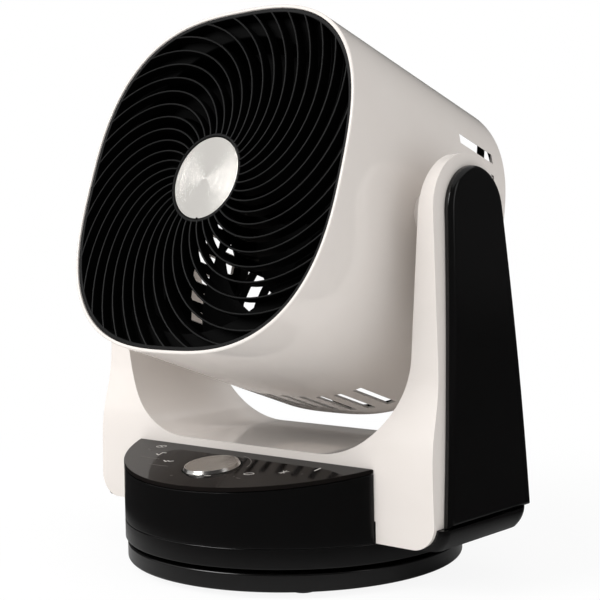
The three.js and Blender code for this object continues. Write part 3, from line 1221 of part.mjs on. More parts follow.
function pivotAxle(side) {
  const headX = bossInnerX - SEAT_GAP;
  const end = pivotNutX + PIVOT_NUT_THICKNESS + AXLE_END;
  return turnedSideways([
    [0, headX - AXLE_HEAD_THICKNESS], [AXLE_HEAD_RADIUS, headX - AXLE_HEAD_THICKNESS],
    [AXLE_HEAD_RADIUS, headX], [AXLE_RADIUS, headX], [AXLE_RADIUS, end], [0, end],
  ], SMALL_SIDES, side);
}

function pivotBush(side) {
  const inner = boreFor(AXLE_RADIUS, SMALL_SIDES);
  const outer = inner + BUSH_WALL;
  return turnedSideways([
    [inner, bushFlangeX], [BUSH_FLANGE_RADIUS, bushFlangeX],
    [BUSH_FLANGE_RADIUS, bushFlangeX + BUSH_FLANGE_THICKNESS],
    [outer, bushFlangeX + BUSH_FLANGE_THICKNESS], [outer, armBossEndX], [inner, armBossEndX],
    [inner, bushFlangeX],
  ], SMALL_SIDES, side);
}

function frictionWasher(side) {
  const inner = AXLE_RADIUS + SEAT_GAP;
  const [x0, x1] = [washerX, washerX + FRICTION_WASHER_THICKNESS];
  const outer = FRICTION_WASHER_RADIUS;
  return turnedSideways([[inner, x0], [outer, x0], [outer, x1], [inner, x1], [inner, x0]],
    SMALL_SIDES, side);
}

function pivotNut(side) {
  const [x0, x1] = [pivotNutX, pivotNutX + PIVOT_NUT_THICKNESS];
  const bore = AXLE_RADIUS + SEAT_GAP;
  return turnedSideways([[0, x0], [PIVOT_NUT_RADIUS, x0], [PIVOT_NUT_RADIUS, x1], [0, x1]], 6, side)
    .subtract(turnedSideways([[0, x0 - 1], [bore, x0 - 1], [bore, x1 + 1], [0, x1 + 1]], SMALL_SIDES, side));
}

// ---------------------------------------------------------------- assembly

const finishes = {
  white: [0xdad4cf, 0.28, 0],
  black: [0x0b0b0b, 0.2, 0],
  blackMatt: [0x161616, 0.55, 0],
  panel: [0x2b2725, 0.25, 0],
  rubber: [0x1a1a1a, 0.9, 0],
  aluminium: [0xd8d6d2, 0.3, 1],
  knob: [0x8c8682, 0.3, 1],
  steel: [0x9a9a98, 0.35, 1],
  nylon: [0xe4e0d4, 0.6, 0],
  board: [0x1f5a34, 0.6, 0],
};

const fan = new THREE.Group();
fan.name = 'air_circulator';

function add(parent, name, body, finish) {
  const [color, roughness, metalness] = finishes[finish];
  const mesh = new THREE.Mesh(geometryOf(body),
    new THREE.MeshStandardMaterial({ color, roughness, metalness, flatShading: true }));
  mesh.name = name;
  parent.add(mesh);
  return mesh;
}

add(fan, 'foot_disc', footDisc(), 'black');
for (let k = 0; k < PAD_COUNT; k++) add(fan, `foot_pad_${k + 1}`, footPad(k), 'rubber');
add(fan, 'swivel_post', swivelPost(), 'steel');
for (let k = 0; k < POST_SCREW_COUNT; k++) add(fan, `post_screw_${k + 1}`, postScrew(k), 'steel');
add(fan, 'slip_ring', slipRing(), 'nylon');
add(fan, 'swivel_sector', swivelSector(), 'nylon');
add(fan, 'swivel_clip', swivelClip(), 'steel');

const turntable = new THREE.Group();
fan.add(turntable);
add(turntable, 'turntable_tray', turntableTray(), 'black');
trayScrewAngles.forEach((angle, k) => add(turntable, `tray_screw_${k + 1}`, trayScrew(angle), 'steel'));
add(turntable, 'swivel_bush', swivelBush(), 'nylon');
add(turntable, 'swing_motor', swingMotor(), 'steel');
for (const [k, side] of [1, -1].entries()) {
  add(turntable, `swing_motor_screw_${k + 1}`, swingMotorScrew(side), 'steel');
}
add(turntable, 'main_housing', mainHousing(), 'black');
add(turntable, 'control_panel', controlPanel(), 'panel');
add(turntable, 'control_board', controlBoard(), 'board');
add(turntable, 'encoder_body', encoderBody(), 'steel');
add(turntable, 'power_board', powerBoard(), 'board');
add(turntable, 'cable_gland', cableGland(), 'rubber');
add(turntable, 'yoke_frame', yokeFrame(), 'white');

const pinion = add(turntable, 'swing_pinion', swingPinion(), 'nylon');
pinion.position.x = pinionX;
add(turntable, 'encoder_plunger', encoderPlunger(), 'nylon');
add(turntable, 'encoder_shaft', encoderShaft(), 'steel');
add(turntable, 'control_knob', controlKnob(), 'knob');

for (const [label, side] of [['left', -1], ['right', 1]]) {
  add(turntable, `side_cover_${label}`, sideCover(side), 'black');
  const bush = add(turntable, `pivot_bush_${label}`, pivotBush(side), 'nylon');
  bush.position.z = PIVOT_Z;
}

const head = new THREE.Group();
head.position.z = PIVOT_Z;
head.rotation.x = -HEAD_TILT;
turntable.add(head);
add(head, 'head_shell', headShell(), 'white');
add(head, 'front_grille', frontGrille(), 'black');
add(head, 'centre_cap', centreCap(), 'aluminium');
add(head, 'rear_grille', rearGrille(), 'black');
add(head, 'air_duct', airDuct(), 'blackMatt');
add(head, 'motor_bracket', motorBracket(), 'blackMatt');
add(head, 'motor_housing', motorHousing(), 'steel');
motorScrewAngles.forEach((angle, k) => add(head, `motor_screw_${k + 1}`, motorScrew(angle), 'steel'));
add(head, 'motor_bearing_front', bearing(motorFrontY), 'steel');
add(head, 'motor_bearing_rear', bearing(motorRearY - BEARING_WIDTH), 'steel');
for (const [label, side] of [['left', -1], ['right', 1]]) {
  add(head, `pivot_axle_${label}`, pivotAxle(side), 'steel');
  add(head, `friction_washer_${label}`, frictionWasher(side), 'rubber');
  add(head, `pivot_nut_${label}`, pivotNut(side), 'steel');
}

const rotor = new THREE.Group();
head.add(rotor);
add(rotor, 'impeller', impeller(), 'blackMatt');
add(rotor, 'motor_shaft', motorShaft(), 'steel');
add(rotor, 'impeller_nut', impellerNut(), 'blackMatt');

export default fan;
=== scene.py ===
# %% [markdown]
# # A desk air circulator, dressed over its CAD frame
#
# The fan is a soft-square head that tilts in a white yoke, on a black foot that it
# swivels on. The CAD model already holds each part's size, place and motion. This lesson
# keeps those places and gives every part that shows its fine shape and its finish.

import math

import bmesh
import bpy
from mathutils import Matrix, Vector


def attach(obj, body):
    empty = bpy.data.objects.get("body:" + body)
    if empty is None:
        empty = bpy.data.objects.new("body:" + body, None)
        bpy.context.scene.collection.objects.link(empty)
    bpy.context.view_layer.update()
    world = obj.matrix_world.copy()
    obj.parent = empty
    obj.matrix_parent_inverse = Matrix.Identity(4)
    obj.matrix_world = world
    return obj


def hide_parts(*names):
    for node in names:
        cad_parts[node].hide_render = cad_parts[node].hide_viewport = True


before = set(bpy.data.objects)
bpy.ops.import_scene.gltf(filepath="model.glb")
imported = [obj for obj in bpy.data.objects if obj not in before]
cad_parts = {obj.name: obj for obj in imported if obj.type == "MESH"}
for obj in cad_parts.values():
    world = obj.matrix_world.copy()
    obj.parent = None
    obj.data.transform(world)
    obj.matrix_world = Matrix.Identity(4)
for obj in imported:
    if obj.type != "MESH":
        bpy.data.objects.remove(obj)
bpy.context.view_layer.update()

# %% [markdown]
# ## The camera
#
# A product photograph is taken from a few steps away with a long lens. The camera's
# place and its three axes come from a fit to the outlines of the foot, the panel, the
# yoke and the head, so the render can be laid over the photograph.

# %% camera
camera_data = bpy.data.cameras.new("camera")
camera_data.sensor_width = 36
camera_data.lens = 74.78
camera = bpy.data.objects.new("camera", camera_data)
camera_right = Vector((0.7451, 0.6666, -0.0199))
camera_up = Vector((-0.0144, 0.0459, 0.9988))
camera_back = camera_right.cross(camera_up)
camera.matrix_world = Matrix.Translation((0.6023, -0.6618, 0.2225)) @ Matrix(
    (camera_right, camera_up, camera_back)
).transposed().to_4x4()
bpy.context.scene.collection.objects.link(camera)
bpy.context.scene.camera = camera
print("camera", round((camera.location).length, 3), "m from the origin")

# %% [markdown]
# ## Working in millimetres
#
# The real part is drawn in millimetres, so the pieces are too. A piece is built at that
# scale, in its own frame or in the head's, and its vertices go to their place in metres
# at the very end, so that its object stays at the origin, unturned and unscaled.

# %% drawing tools
MM = 0.001
PIVOT_Z = 241.5
TILT = math.radians(18.57)
HEAD = Matrix.Translation((0, 0, PIVOT_Z)) @ Matrix.Rotation(-TILT, 4, "X")
UPRIGHT = Matrix.Identity(4)


def merged(bm, distance=0.001):
    """Closes the seams of a mesh and turns its faces outwards."""
    bmesh.ops.remove_doubles(bm, verts=bm.verts[:], dist=distance)
    bmesh.ops.dissolve_degenerate(bm, edges=bm.edges[:], dist=distance)
    bmesh.ops.recalc_face_normals(bm, faces=bm.faces[:])
    return bm


def turned(angle, point):
    """A point of a flat drawing, turned about its origin."""
    return (
        point[0] * math.cos(angle) - point[1] * math.sin(angle),
        point[0] * math.sin(angle) + point[1] * math.cos(angle),
    )


def filleted(corners, degrees_each=15):
    """An outline whose corners (a, b, radius) are rounded by arcs."""
    outline = []
    count = len(corners)
    for i, (a, b, radius) in enumerate(corners):
        here = Vector((a, b))
        if radius <= 0:
            outline.append((a, b))
            continue
        before = Vector(corners[i - 1][:2]) - here
        after = Vector(corners[(i + 1) % count][:2]) - here
        half = before.angle(after) / 2
        reach = min(radius / math.tan(half), 0.49 * before.length, 0.49 * after.length)
        before.normalize()
        after.normalize()
        size = reach * math.tan(half)
        centre = here + (before + after).normalized() * (size / math.sin(half))
        start = here + before * reach - centre
        end = here + after * reach - centre
        sweep = math.atan2(start.x * end.y - start.y * end.x, start.dot(end))
        steps = max(2, math.ceil(abs(math.degrees(sweep)) / degrees_each))
        for k in range(steps + 1):
            x, y = turned(sweep * k / steps, start)
            outline.append((centre.x + x, centre.y + y))
    return outline


def arc(centre, radius, start, end, steps):
    """Points on a circle from one angle to another, in radians."""
    angles = [start + (end - start) * k / steps for k in range(steps + 1)]
    return [
        (centre[0] + radius * math.cos(t), centre[1] + radius * math.sin(t))
        for t in angles
    ]


# %% [markdown]
# ## Turned shapes and pulled shapes
#
# Most moulded parts are either round, and can be spun from a profile, or have the same
# outline all along, and can be pulled from it. Two helpers make both kinds. A third one
# joins, cuts or crosses two closed meshes, for shapes such as the yoke, which is a U
# from the front and a tall rounded fin from the side.

# %% spin, pull and combine
AXES = {
    "X": ((1, 0, 0), lambda r, a: (a, r, 0), lambda a, b, c: (c, a, b)),
    "Y": ((0, 1, 0), lambda r, a: (r, a, 0), lambda a, b, c: (a, c, b)),
    "Z": ((0, 0, 1), lambda r, a: (r, 0, a), lambda a, b, c: (a, b, c)),
}


def spun(profile, axis="Z", steps=128):
    """Turns a profile of (radius, place along the axis) about that axis."""
    direction, place, _ = AXES[axis]
    bm = bmesh.new()
    points = [bm.verts.new(place(r, a)) for r, a in profile]
    edges = [bm.edges.new(pair) for pair in zip(points, points[1:] + points[:1])]
    bmesh.ops.spin(
        bm, geom=points + edges, cent=(0, 0, 0), axis=direction, dvec=(0, 0, 0),
        angle=math.tau, steps=steps, use_merge=True, use_duplicate=False,
    )
    return merged(bm)


def lathed(corners, axis="Z", steps=128):
    """Turns a profile whose corners (radius, place, fillet) are rounded."""
    return spun(filleted(corners), axis, steps)


def rod(radius, low, high, axis="Z", steps=48, bore=0):
    """A round rod, or a tube where it has a bore."""
    return spun([(bore, low), (radius, low), (radius, high), (bore, high)], axis, steps)


def oblong(left, right, low, high):
    """The outline of a rectangle."""
    return [(left, low), (right, low), (right, high), (left, high)]


def pulled(outline, low, high, axis="Z"):
    """Pulls an outline along an axis. Its pairs are (x, y), (x, z) or (y, z)."""
    _, _, place = AXES[axis]
    bm = bmesh.new()
    face = bm.faces.new([bm.verts.new(place(a, b, low)) for a, b in outline])
    grown = bmesh.ops.extrude_face_region(bm, geom=[face])["geom"]
    far = [part for part in grown if isinstance(part, bmesh.types.BMVert)]
    bmesh.ops.translate(bm, verts=far, vec=place(0, 0, high - low))
    return merged(bm)


def combined(body, tool, operation):
    """UNION, DIFFERENCE or INTERSECT of two closed meshes; both are used up."""
    holders = []
    for bm in (body, tool):
        mesh = bpy.data.meshes.new("shape")
        bm.to_mesh(mesh)
        bm.free()
        holder = bpy.data.objects.new("shape", mesh)
        bpy.context.scene.collection.objects.link(holder)
        holders.append(holder)
    step = holders[0].modifiers.new("combine", "BOOLEAN")
    step.operation = operation
    step.solver = "EXACT"
    step.object = holders[1]
    result = bmesh.new()
    result.from_object(holders[0], bpy.context.evaluated_depsgraph_get())
    for holder in holders:
        mesh = holder.data
        bpy.data.objects.remove(holder)
        bpy.data.meshes.remove(mesh)
    return merged(result, 0.01)


def gathered(*parts):
    """Several meshes in one."""
    whole = bmesh.new()
    for part in parts:
        mesh = bpy.data.meshes.new("part")
        part.to_mesh(mesh)
        part.free()
        whole.from_mesh(mesh)
        bpy.data.meshes.remove(mesh)
    return whole


def moved(bm, matrix):
    """The same mesh in another place."""
    bm.transform(matrix)
    if matrix.determinant() < 0:
        bmesh.ops.reverse_faces(bm, faces=bm.faces[:])
    return bm


def to_side(side):
    """Nothing for the right side (1), a mirror for the left one (-1)."""
    return Matrix.Scale(side, 4, (1, 0, 0))


def rounded(bm, width, segments=3, sharper=35, chosen=lambda edge: True):
    """Rounds the sharp edges of a mesh that chosen() lets through."""
    edges = [
        e
        for e in bm.edges
        if len(e.link_faces) == 2
        and e.calc_face_angle() > math.radians(sharper)
        and chosen(e)
    ]
    bmesh.ops.bevel(
        bm, geom=edges, offset=width, segments=segments, affect="EDGES", profile=0.5,
        material=-1, clamp_overlap=True,
    )
    return merged(bm, 0.005)


# %% [markdown]
# ## From a mesh to a piece of the fan
#
# Every piece rides on one body of the frame, so that it moves as the real part does, and
# the CAD nodes that it stands for are hidden. Its curved faces shade smoothly, its edges
# stay crisp, and weighted normals keep the large flat faces flat beside a rounded edge.


# %% make a piece
def piece(name, bm, body, material, nodes=(), place=UPRIGHT, crisp=28):
    """Puts a mesh drawn in millimetres in its place and lets it ride on a body."""
    open_edges = sum(len(e.link_faces) != 2 for e in bm.edges)
    bm.transform(Matrix.Scale(MM, 4) @ place)
    mesh = bpy.data.meshes.new(name)
    bm.to_mesh(mesh)
    bm.free()
    mesh.shade_smooth()
    mesh.set_sharp_from_angle(angle=math.radians(crisp))
    mesh.materials.append(material)
    made = bpy.data.objects.new(name, mesh)
    bpy.context.scene.collection.objects.link(made)
    even = made.modifiers.new("even shading", "WEIGHTED_NORMAL")
    even.keep_sharp = True
    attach(made, body)
    if nodes:
        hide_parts(*nodes)
    print(f"{name}: {len(mesh.polygons)} faces, {open_edges} open edges")
    return made


# %% [markdown]
# ## Shader maths in plain Python
#
# A finish is a small recipe of nodes. To keep the recipes readable, a socket is wrapped
# so that + - * build the Math nodes, and one method makes every other kind of node.


# %% socket wrapper and finish builder
class Value:
    """A shader socket that Python's operators can work on."""

    def __init__(self, finish, socket):
        self.finish = finish
        self.socket = socket

    def __add__(self, other):
        return self.finish.math("ADD", self, other)

    def __sub__(self, other):
        return self.finish.math("SUBTRACT", self, other)

    def __rsub__(self, other):
        return self.finish.math("SUBTRACT", other, self)

    def __mul__(self, other):
        return self.finish.math("MULTIPLY", self, other)

    __radd__ = __add__
    __rmul__ = __mul__


class Finish:
    """A material, or the world, that is built node by node."""

    def __init__(self, name, owner=None):
        self.material = owner or bpy.data.materials.new(name)
        self.material.use_nodes = True
        self.tree = self.material.node_tree
        self.tree.nodes.clear()

    def node(self, kind, settings=None, **inputs):
        """Makes a node: its settings first, then the values or links of its sockets."""
        made = self.tree.nodes.new("ShaderNode" + kind)
        for key, value in (settings or {}).items():
            setattr(made, key, value)
        for key, value in inputs.items():
            self.feed(made, key.replace("_", " "), value)
        return made

    def feed(self, node, key, value):
        """Sets or links one socket, by its number (n0, n1) or its name."""
        number = key[1:] if key[0] == "n" and key[1:].isdigit() else None
        socket = node.inputs[int(number) if number else key]
        if isinstance(value, Value):
            self.tree.links.new(value.socket, socket)
        else:
            socket.default_value = value

    def out(self, node, output=0):
        """One of a node's outputs as a Value."""
        return Value(self, node.outputs[output])

    def math(self, operation, *values, clamp=False):
        """A Math node on numbers or sockets."""
        inputs = {f"n{i}": value for i, value in enumerate(values)}
        return self.out(
            self.node("Math", {"operation": operation, "use_clamp": clamp}, **inputs)
        )

    def vector(self, operation, *values, scale=None):
        """A Vector Math node; its result is a vector, or a number for a length."""
        made = self.node("VectorMath", {"operation": operation})
        for i, value in enumerate(values):
            self.feed(made, f"n{i}", value)
        if scale is not None:
            self.feed(made, "Scale", scale)
        return self.out(made, 1 if operation in ("LENGTH", "DOT_PRODUCT") else 0)

    def point(self, place=UPRIGHT):
        """The surface point in millimetres, in the frame that a piece was drawn in."""
        where = self.out(self.node("TexCoord"), "Object")
        made = self.node("Mapping", {"vector_type": "TEXTURE"}, Vector=where)
        made.inputs["Location"].default_value = place.translation * MM
        made.inputs["Rotation"].default_value = place.to_euler()
        made.inputs["Scale"].default_value = (MM, MM, MM)
        return self.out(made)

    def noise(self, where, size, detail=2, roughness=0.5):
        """Noise from 0 to 1 whose bumps are about size millimetres wide."""
        made = self.node(
            "TexNoise", Vector=where, Scale=1 / size, Detail=detail, Roughness=roughness
        )
        return self.out(made, 0)

    def blend(self, share, first, second):
        """A colour between two colours."""
        made = self.node("Mix", {"data_type": "RGBA"})
        for socket, value in zip(
            (made.inputs["Factor"], made.inputs[6], made.inputs[7]), (share, first, second),
        ):
            if isinstance(value, Value):
                self.tree.links.new(value.socket, socket)
            else:
                socket.default_value = value
        return self.out(made, 2)

    def bump(self, height, depth):
        """A Bump node for a height from 0 to 1 that is depth millimetres deep."""
        return self.out(self.node("Bump", Strength=1, Distance=depth * MM, Height=height))

    def surface(self, **inputs):
        """The Principled shader and the output that end every finish."""
        shader = self.node("BsdfPrincipled", **inputs)
        output = self.node("OutputMaterial")
        self.tree.links.new(shader.outputs[0], output.inputs["Surface"])
        return self.material


def colour(red, green, blue):
    """A measured colour, 0 to 255, as Blender's linear colour."""

    def linear(c):
        c /= 255
        return c / 12.92 if c <= 0.04045 else ((c + 0.055) / 1.055) ** 2.4

    return (linear(red), linear(green), linear(blue), 1)


# %% [markdown]
# ## Moulded plastics
#
# The head and the yoke are warm white gloss plastic; foot, body and covers are the same
# plastic in black. Glossy mouldings are never mirrors: the surface has a faint waviness
# from shrinkage, a fine orange peel from the tool, and patches that are polished a
# little more or less. Those three things are one recipe with different numbers.


# %% plastic finishes
def moulded(name, base, shade, gloss, spread, peel=0.012, grain=2.4, ior=1.5):
    """Moulded plastic: two close tones, a roughness that wanders, and orange peel."""
    finish = Finish(name)
    where = finish.point()
    patches = finish.noise(where, 38, 2)
    fine = finish.noise(where, 0.9, 3, 0.6)
    waves = finish.noise(where, 16, 1)
    orange_peel = finish.noise(where, grain, 1)
    return finish.surface(
        Base_Color=finish.blend(patches * 0.7 + fine * 0.3, base, shade),
        Roughness=gloss - spread / 2 + (patches * 0.4 + fine * 0.6) * spread, IOR=ior,
        Normal=finish.bump(waves * 0.6 + orange_peel * 0.4, peel),
    )


white_gloss = moulded(
    "white gloss plastic", colour(229, 223, 218), colour(223, 216, 210), 0.08, 0.04
)
black_gloss = moulded("black gloss plastic", colour(8, 8, 8), colour(13, 12, 12), 0.16, 0.07)
black_satin = moulded(
    "black satin plastic", colour(4, 4, 4), colour(7, 7, 7), 0.5, 0.1, 0.02, 1.4, 1.3
)
black_matt = moulded(
    "black matt plastic", colour(3, 3, 3), colour(6, 6, 6), 0.7, 0.15, 0.03, 1.6, 1.15
)
panel_gloss = moulded(
    "panel gloss plastic", colour(17, 15, 14), colour(22, 19, 18), 0.07, 0.03, 0.006, 3, 1.13
)
rubber = moulded("rubber", colour(22, 22, 22), colour(32, 31, 30), 0.75, 0.2, 0.03, 1.2)
nylon = moulded("nylon", colour(228, 224, 210), colour(215, 209, 192), 0.5, 0.15, 0.02, 1.3)
print("plastic finishes made")

# %% [markdown]
# ## Spun and brushed metal
#
# The centre cap and the knob are aluminium turned against a brush, which leaves
# thousands of rings too fine to see. They tilt the surface in and out from the middle,
# so a lamp smears into a bright wedge across the disc. Real rings would be far smaller
# than a pixel, so the recipe tilts the normal itself by a noise that changes only with
# the distance from the middle, instead of drawing rings as bumps.


# %% metal finishes
def brushed(name, base, shade, place, axis, roughness, tilt):
    """Metal with rings round an axis of the piece's own frame."""
    finish = Finish(name)
    where = finish.point(place)
    keep = tuple(0 if a else 1 for a in axis)
    flat = finish.vector("MULTIPLY", where, keep)
    radius = finish.vector("LENGTH", flat)
    outwards = finish.vector("NORMALIZE", flat)
    rings = finish.noise(
        finish.out(finish.node("CombineXYZ", X=radius * 9, Y=0.0, Z=0.0)), 1, 6, 0.75
    )
    turned_out = finish.out(
        finish.node("VectorRotate", {"rotation_type": "EULER_XYZ"}, Vector=outwards)
    )
    turned_out.socket.node.inputs["Rotation"].default_value = place.to_euler()
    in_world = finish.out(
        finish.node(
            "VectorTransform",
            {"vector_type": "VECTOR", "convert_from": "OBJECT", "convert_to": "WORLD"},
            Vector=turned_out,
        )
    )
    lean = finish.vector("SCALE", in_world, scale=(rings - 0.5) * tilt)
    bare = finish.out(finish.node("NewGeometry"), "Normal")
    leant = finish.vector("NORMALIZE", finish.vector("ADD", bare, lean))
    return finish.surface(
        Base_Color=finish.blend(rings, shade, base), Metallic=1.0,
        Roughness=roughness + rings * 0.08, Normal=leant,
    )


def cast(name, base, shade, roughness, grain):
    """Plain metal with a fine grain."""
    finish = Finish(name)
    where = finish.point()
    fine = finish.noise(where, grain, 3, 0.6)
    return finish.surface(
        Base_Color=finish.blend(fine, base, shade), Metallic=1.0,
        Roughness=roughness + fine * 0.12, Normal=finish.bump(fine, 0.02),
    )


steel = cast("zinc plated steel", colour(176, 176, 172), colour(150, 149, 145), 0.3, 1.5)
motor_alloy = cast("cast alloy", colour(140, 140, 138), colour(118, 117, 114), 0.45, 0.8)
print("metal finishes:", steel.name, "and", motor_alloy.name)

# %% [markdown]
# ## Circuit board
#
# Two boards are hidden in the base. A board is green lacquer over copper: tracks show
# through as slightly lighter lines. A grid of cells with thin borders is enough for a
# part that only a cut model shows.

# %% board finish
board_finish = Finish("circuit board")
board_point = board_finish.point()
tracks = board_finish.out(
    board_finish.node(
        "TexVoronoi",
        {"feature": "DISTANCE_TO_EDGE", "distance": "EUCLIDEAN"},
        Vector=board_point, Scale=0.25, Randomness=0.6,
    ),
    "Distance",
)
track_mask = board_finish.math("LESS_THAN", tracks, 0.06)
board = board_finish.surface(
    Base_Color=board_finish.blend(track_mask, colour(24, 78, 46), colour(60, 120, 70)),
    Roughness=0.35 + track_mask * 0.1, Normal=board_finish.bump(track_mask, 0.03),
)

# %% [markdown]
# ## A finish for every CAD part
#
# Inner parts stay as the CAD model made them: bearings, screws, bushes and gears. They
# only need the right stuff to be made of, so that nothing looks like bare grey CAD when
# the head is lit through the grille.

# %% dress the CAD nodes
dressing = [
    (rubber, ("foot_pad", "friction_washer", "cable_gland")),
    (nylon, ("slip_ring", "swivel_bush", "swivel_sector", "swing_pinion")),
    (nylon, ("pivot_bush", "encoder_plunger")), (board, ("control_board", "power_board")),
    (motor_alloy, ("motor_housing",)),
    (black_matt, ("motor_bracket", "impeller", "air_duct")),
    (black_satin, ("rear_grille", "front_grille")),
    (white_gloss, ("head_shell", "yoke_frame")),
    (black_gloss, ("side_cover", "main_housing", "turntable_tray", "foot_disc")),
    (panel_gloss, ("control_panel",)),
]
for node_name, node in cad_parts.items():
    fits = [finish for finish, starts in dressing if node_name.startswith(starts)]
    node.data.materials.clear()
    node.data.materials.append(fits[0] if fits else steel)
print(len(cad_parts), "CAD nodes dressed")

# %% [markdown]
# ## Foot
#
# The foot is a shallow black disc with a rounded lower edge, standing on four rubber
# pads. From above it is only a dark band, but it is also seen from below, so the
# underside has its hub, its six stiffening ribs and the pad sockets. The disc is spun
# from one closed profile and the ribs and sockets are joined to it.

# %% foot disc
FOOT_R = 120
FOOT_LOW = 4
FOOT_TOP = 16
DECK_Z = 12.5
RIB_LOW = 5.5
PAD_CIRCLE = 98


def pad_place(number):
    """Where a rubber pad stands, on the corners of a square."""
    turn = Matrix.Rotation(math.tau * (number + 0.5) / 4, 4, "Z")
    return turn @ Matrix.Translation((PAD_CIRCLE, 0, 0))


foot = lathed([
    (0, RIB_LOW, 0), (34, RIB_LOW, 0.6), (34, DECK_Z, 0), (115.5, DECK_Z, 1),
    (115.5, FOOT_LOW, 0.5), (FOOT_R, FOOT_LOW, 4), (FOOT_R, FOOT_TOP, 1.2), (0, FOOT_TOP, 0),
], steps=180)
ribs = []
for k in range(6):
    rib = pulled(oblong(33, 116.5, -1.2, 1.2), RIB_LOW, DECK_Z + 1)
    ribs.append(moved(rib, Matrix.Rotation(math.tau * k / 6, 4, "Z")))
sockets = [moved(rod(12, FOOT_LOW, 13.5), pad_place(k)) for k in range(4)]
recesses = [moved(rod(9.3, 2, RIB_LOW), pad_place(k)) for k in range(4)]
foot = combined(foot, gathered(*ribs), "UNION")
foot = combined(foot, gathered(*sockets), "UNION")
foot = combined(foot, gathered(*recesses), "DIFFERENCE")
piece("foot", foot, "base", black_gloss, ["foot_disc"])

# %% rubber pads
for k in range(4):
    pad = lathed([(0, 0, 0), (9, 0, 1.2), (9, 5.2, 0.3), (0, 5.2, 0)], steps=48)
    node_name = f"foot_pad_{k + 1}"
    piece(f"pad_{k + 1}", pad, "base", rubber, [node_name], pad_place(k))

# %% [markdown]
# ## Turntable ring
#
# Above the foot runs the ring that turns. A shadow gap of three millimetres keeps the
# two apart. It is a spun shell again, with softened rims that catch a thin line of
# light.

# %% turntable ring
RING_R = 121.5
RING_LOW = 19
RING_TOP = 32
ring = lathed([
    (15.9, RING_LOW, 0.4), (RING_R, RING_LOW, 0.9), (RING_R, RING_TOP, 0.5),
    (RING_R - 4, RING_TOP, 0.3), (RING_R - 4, RING_LOW + 3, 0.8), (19.9, RING_LOW + 3, 0.5),
    (19.9, 29.5, 0.4), (15.9, 29.5, 0.3),
], steps=180)
piece("turntable_ring", ring, "turntable", black_gloss, ["turntable_tray"])

# %% [markdown]
# ## Body
#
# The black body is one moulding with three forms: a D-shaped drum in front, a wide belt
# that carries the two arms, and a low drum behind with a sloping roof. The belt draws in
# towards its foot like a chin. Each form is pulled from its outline, its roof vertices
# are set on the sloping plane, and the forms are joined.

# %% body forms
BODY_LOW = 32.3
BELT_TOP = 46
FRONT_BACK_Y = -47.7
REAR_Y = 60.8
WALL = 2.6
BELT_FRONT_Y = -44.1
BELT_HALF = 164
BELT_REAR_Y = 60.5
CHIN = 7
PANEL_THICK = 3
PANEL_RISE = 0.1415
UNDER_BODY = 30
OVER_BODY = 100
CORE_HALF = 92
CORE_REAR_Y = 67


def panel_z(y):
    """Top of the control panel."""
    return 69.6 + PANEL_RISE * (y + 120)


def rear_roof_z(y):
    """Top of the rear drum."""
    return 76 - 0.2 * (y - REAR_Y)


def segment(radius, edge_y, sign, steps=72):
    """The part of a circle beyond a straight edge, in front (-1) or behind (1)."""
    half = math.acos(abs(edge_y) / radius)
    middle = sign * math.pi / 2
    return arc((0, 0), radius, middle - half, middle + half, steps)


def circle(radius, steps=180):
    """A full circle, without its first point twice."""
    return arc((0, 0), radius, 0, math.tau * (steps - 1) / steps, steps - 1)


def under_roof(outline, low, roof):
    """Pulls an outline up to a roof that slopes along y."""
    bm = pulled(outline, low, OVER_BODY)
    for v in bm.verts:
        if v.co.z > OVER_BODY - 1:
            v.co.z = roof(v.co.y)
    return bm


def belt(low, high, steps=8):
    """The wide belt under the arms, drawn in towards its foot."""
    outline = filleted(
        [
            (-BELT_HALF, BELT_FRONT_Y, 6), (BELT_HALF, BELT_FRONT_Y, 6),
            (BELT_HALF, BELT_REAR_Y, 20), (-BELT_HALF, BELT_REAR_Y, 20),
        ],
        degrees_each=6,
    )
    bm = pulled(outline, low, high)
    for k in range(1, steps):
        bmesh.ops.bisect_plane(
            bm, geom=bm.verts[:] + bm.edges[:] + bm.faces[:],
            plane_co=(0, 0, low + (high - low) * k / steps), plane_no=(0, 0, 1),
        )
    for v in bm.verts:
        fall = (high - v.co.z) / (high - low)
        v.co.x *= 1 - CHIN * fall * fall / BELT_HALF
    return merged(bm)


front_drum = rounded(
    under_roof(
        segment(RING_R, FRONT_BACK_Y, -1), BODY_LOW,
        lambda y: panel_z(y) - PANEL_THICK - 0.3,
    ),
    0.5, 2,
)
rear_drum = rounded(under_roof(segment(RING_R, REAR_Y, 1), BODY_LOW, rear_roof_z), 2.4, 4)
core = pulled(segment(RING_R - WALL, FRONT_BACK_Y - WALL, -1), UNDER_BODY, OVER_BODY)
rear_core = under_roof(
    segment(RING_R - WALL, REAR_Y + WALL, 1), UNDER_BODY, lambda y: rear_roof_z(y) - WALL
)
body_shape = combined(front_drum, core, "DIFFERENCE")
rear_shape = combined(rear_drum, rear_core, "DIFFERENCE")
body_shape = combined(body_shape, rear_shape, "UNION")
belt_shape = rounded(belt(BODY_LOW, BELT_TOP), 0.8, 2, 50)
middle = pulled(
    oblong(-CORE_HALF, CORE_HALF, FRONT_BACK_Y - 6, CORE_REAR_Y), UNDER_BODY, BELT_TOP + 4
)
belt_shape = combined(belt_shape, middle, "DIFFERENCE")
outer_middle = pulled(circle(RING_R), BODY_LOW, BELT_TOP)
slab = pulled(oblong(-130, 130, -44.2, 61), UNDER_BODY, BELT_TOP + 4)
outer_middle = combined(outer_middle, slab, "INTERSECT")
hollow = pulled(circle(RING_R - WALL), UNDER_BODY, BELT_TOP - WALL)
opening = pulled(oblong(-CORE_HALF, CORE_HALF, -54, CORE_REAR_Y), UNDER_BODY, BELT_TOP + 4)
outer_middle = combined(outer_middle, hollow, "DIFFERENCE")
outer_middle = combined(outer_middle, opening, "DIFFERENCE")
body_shape = combined(body_shape, belt_shape, "UNION")
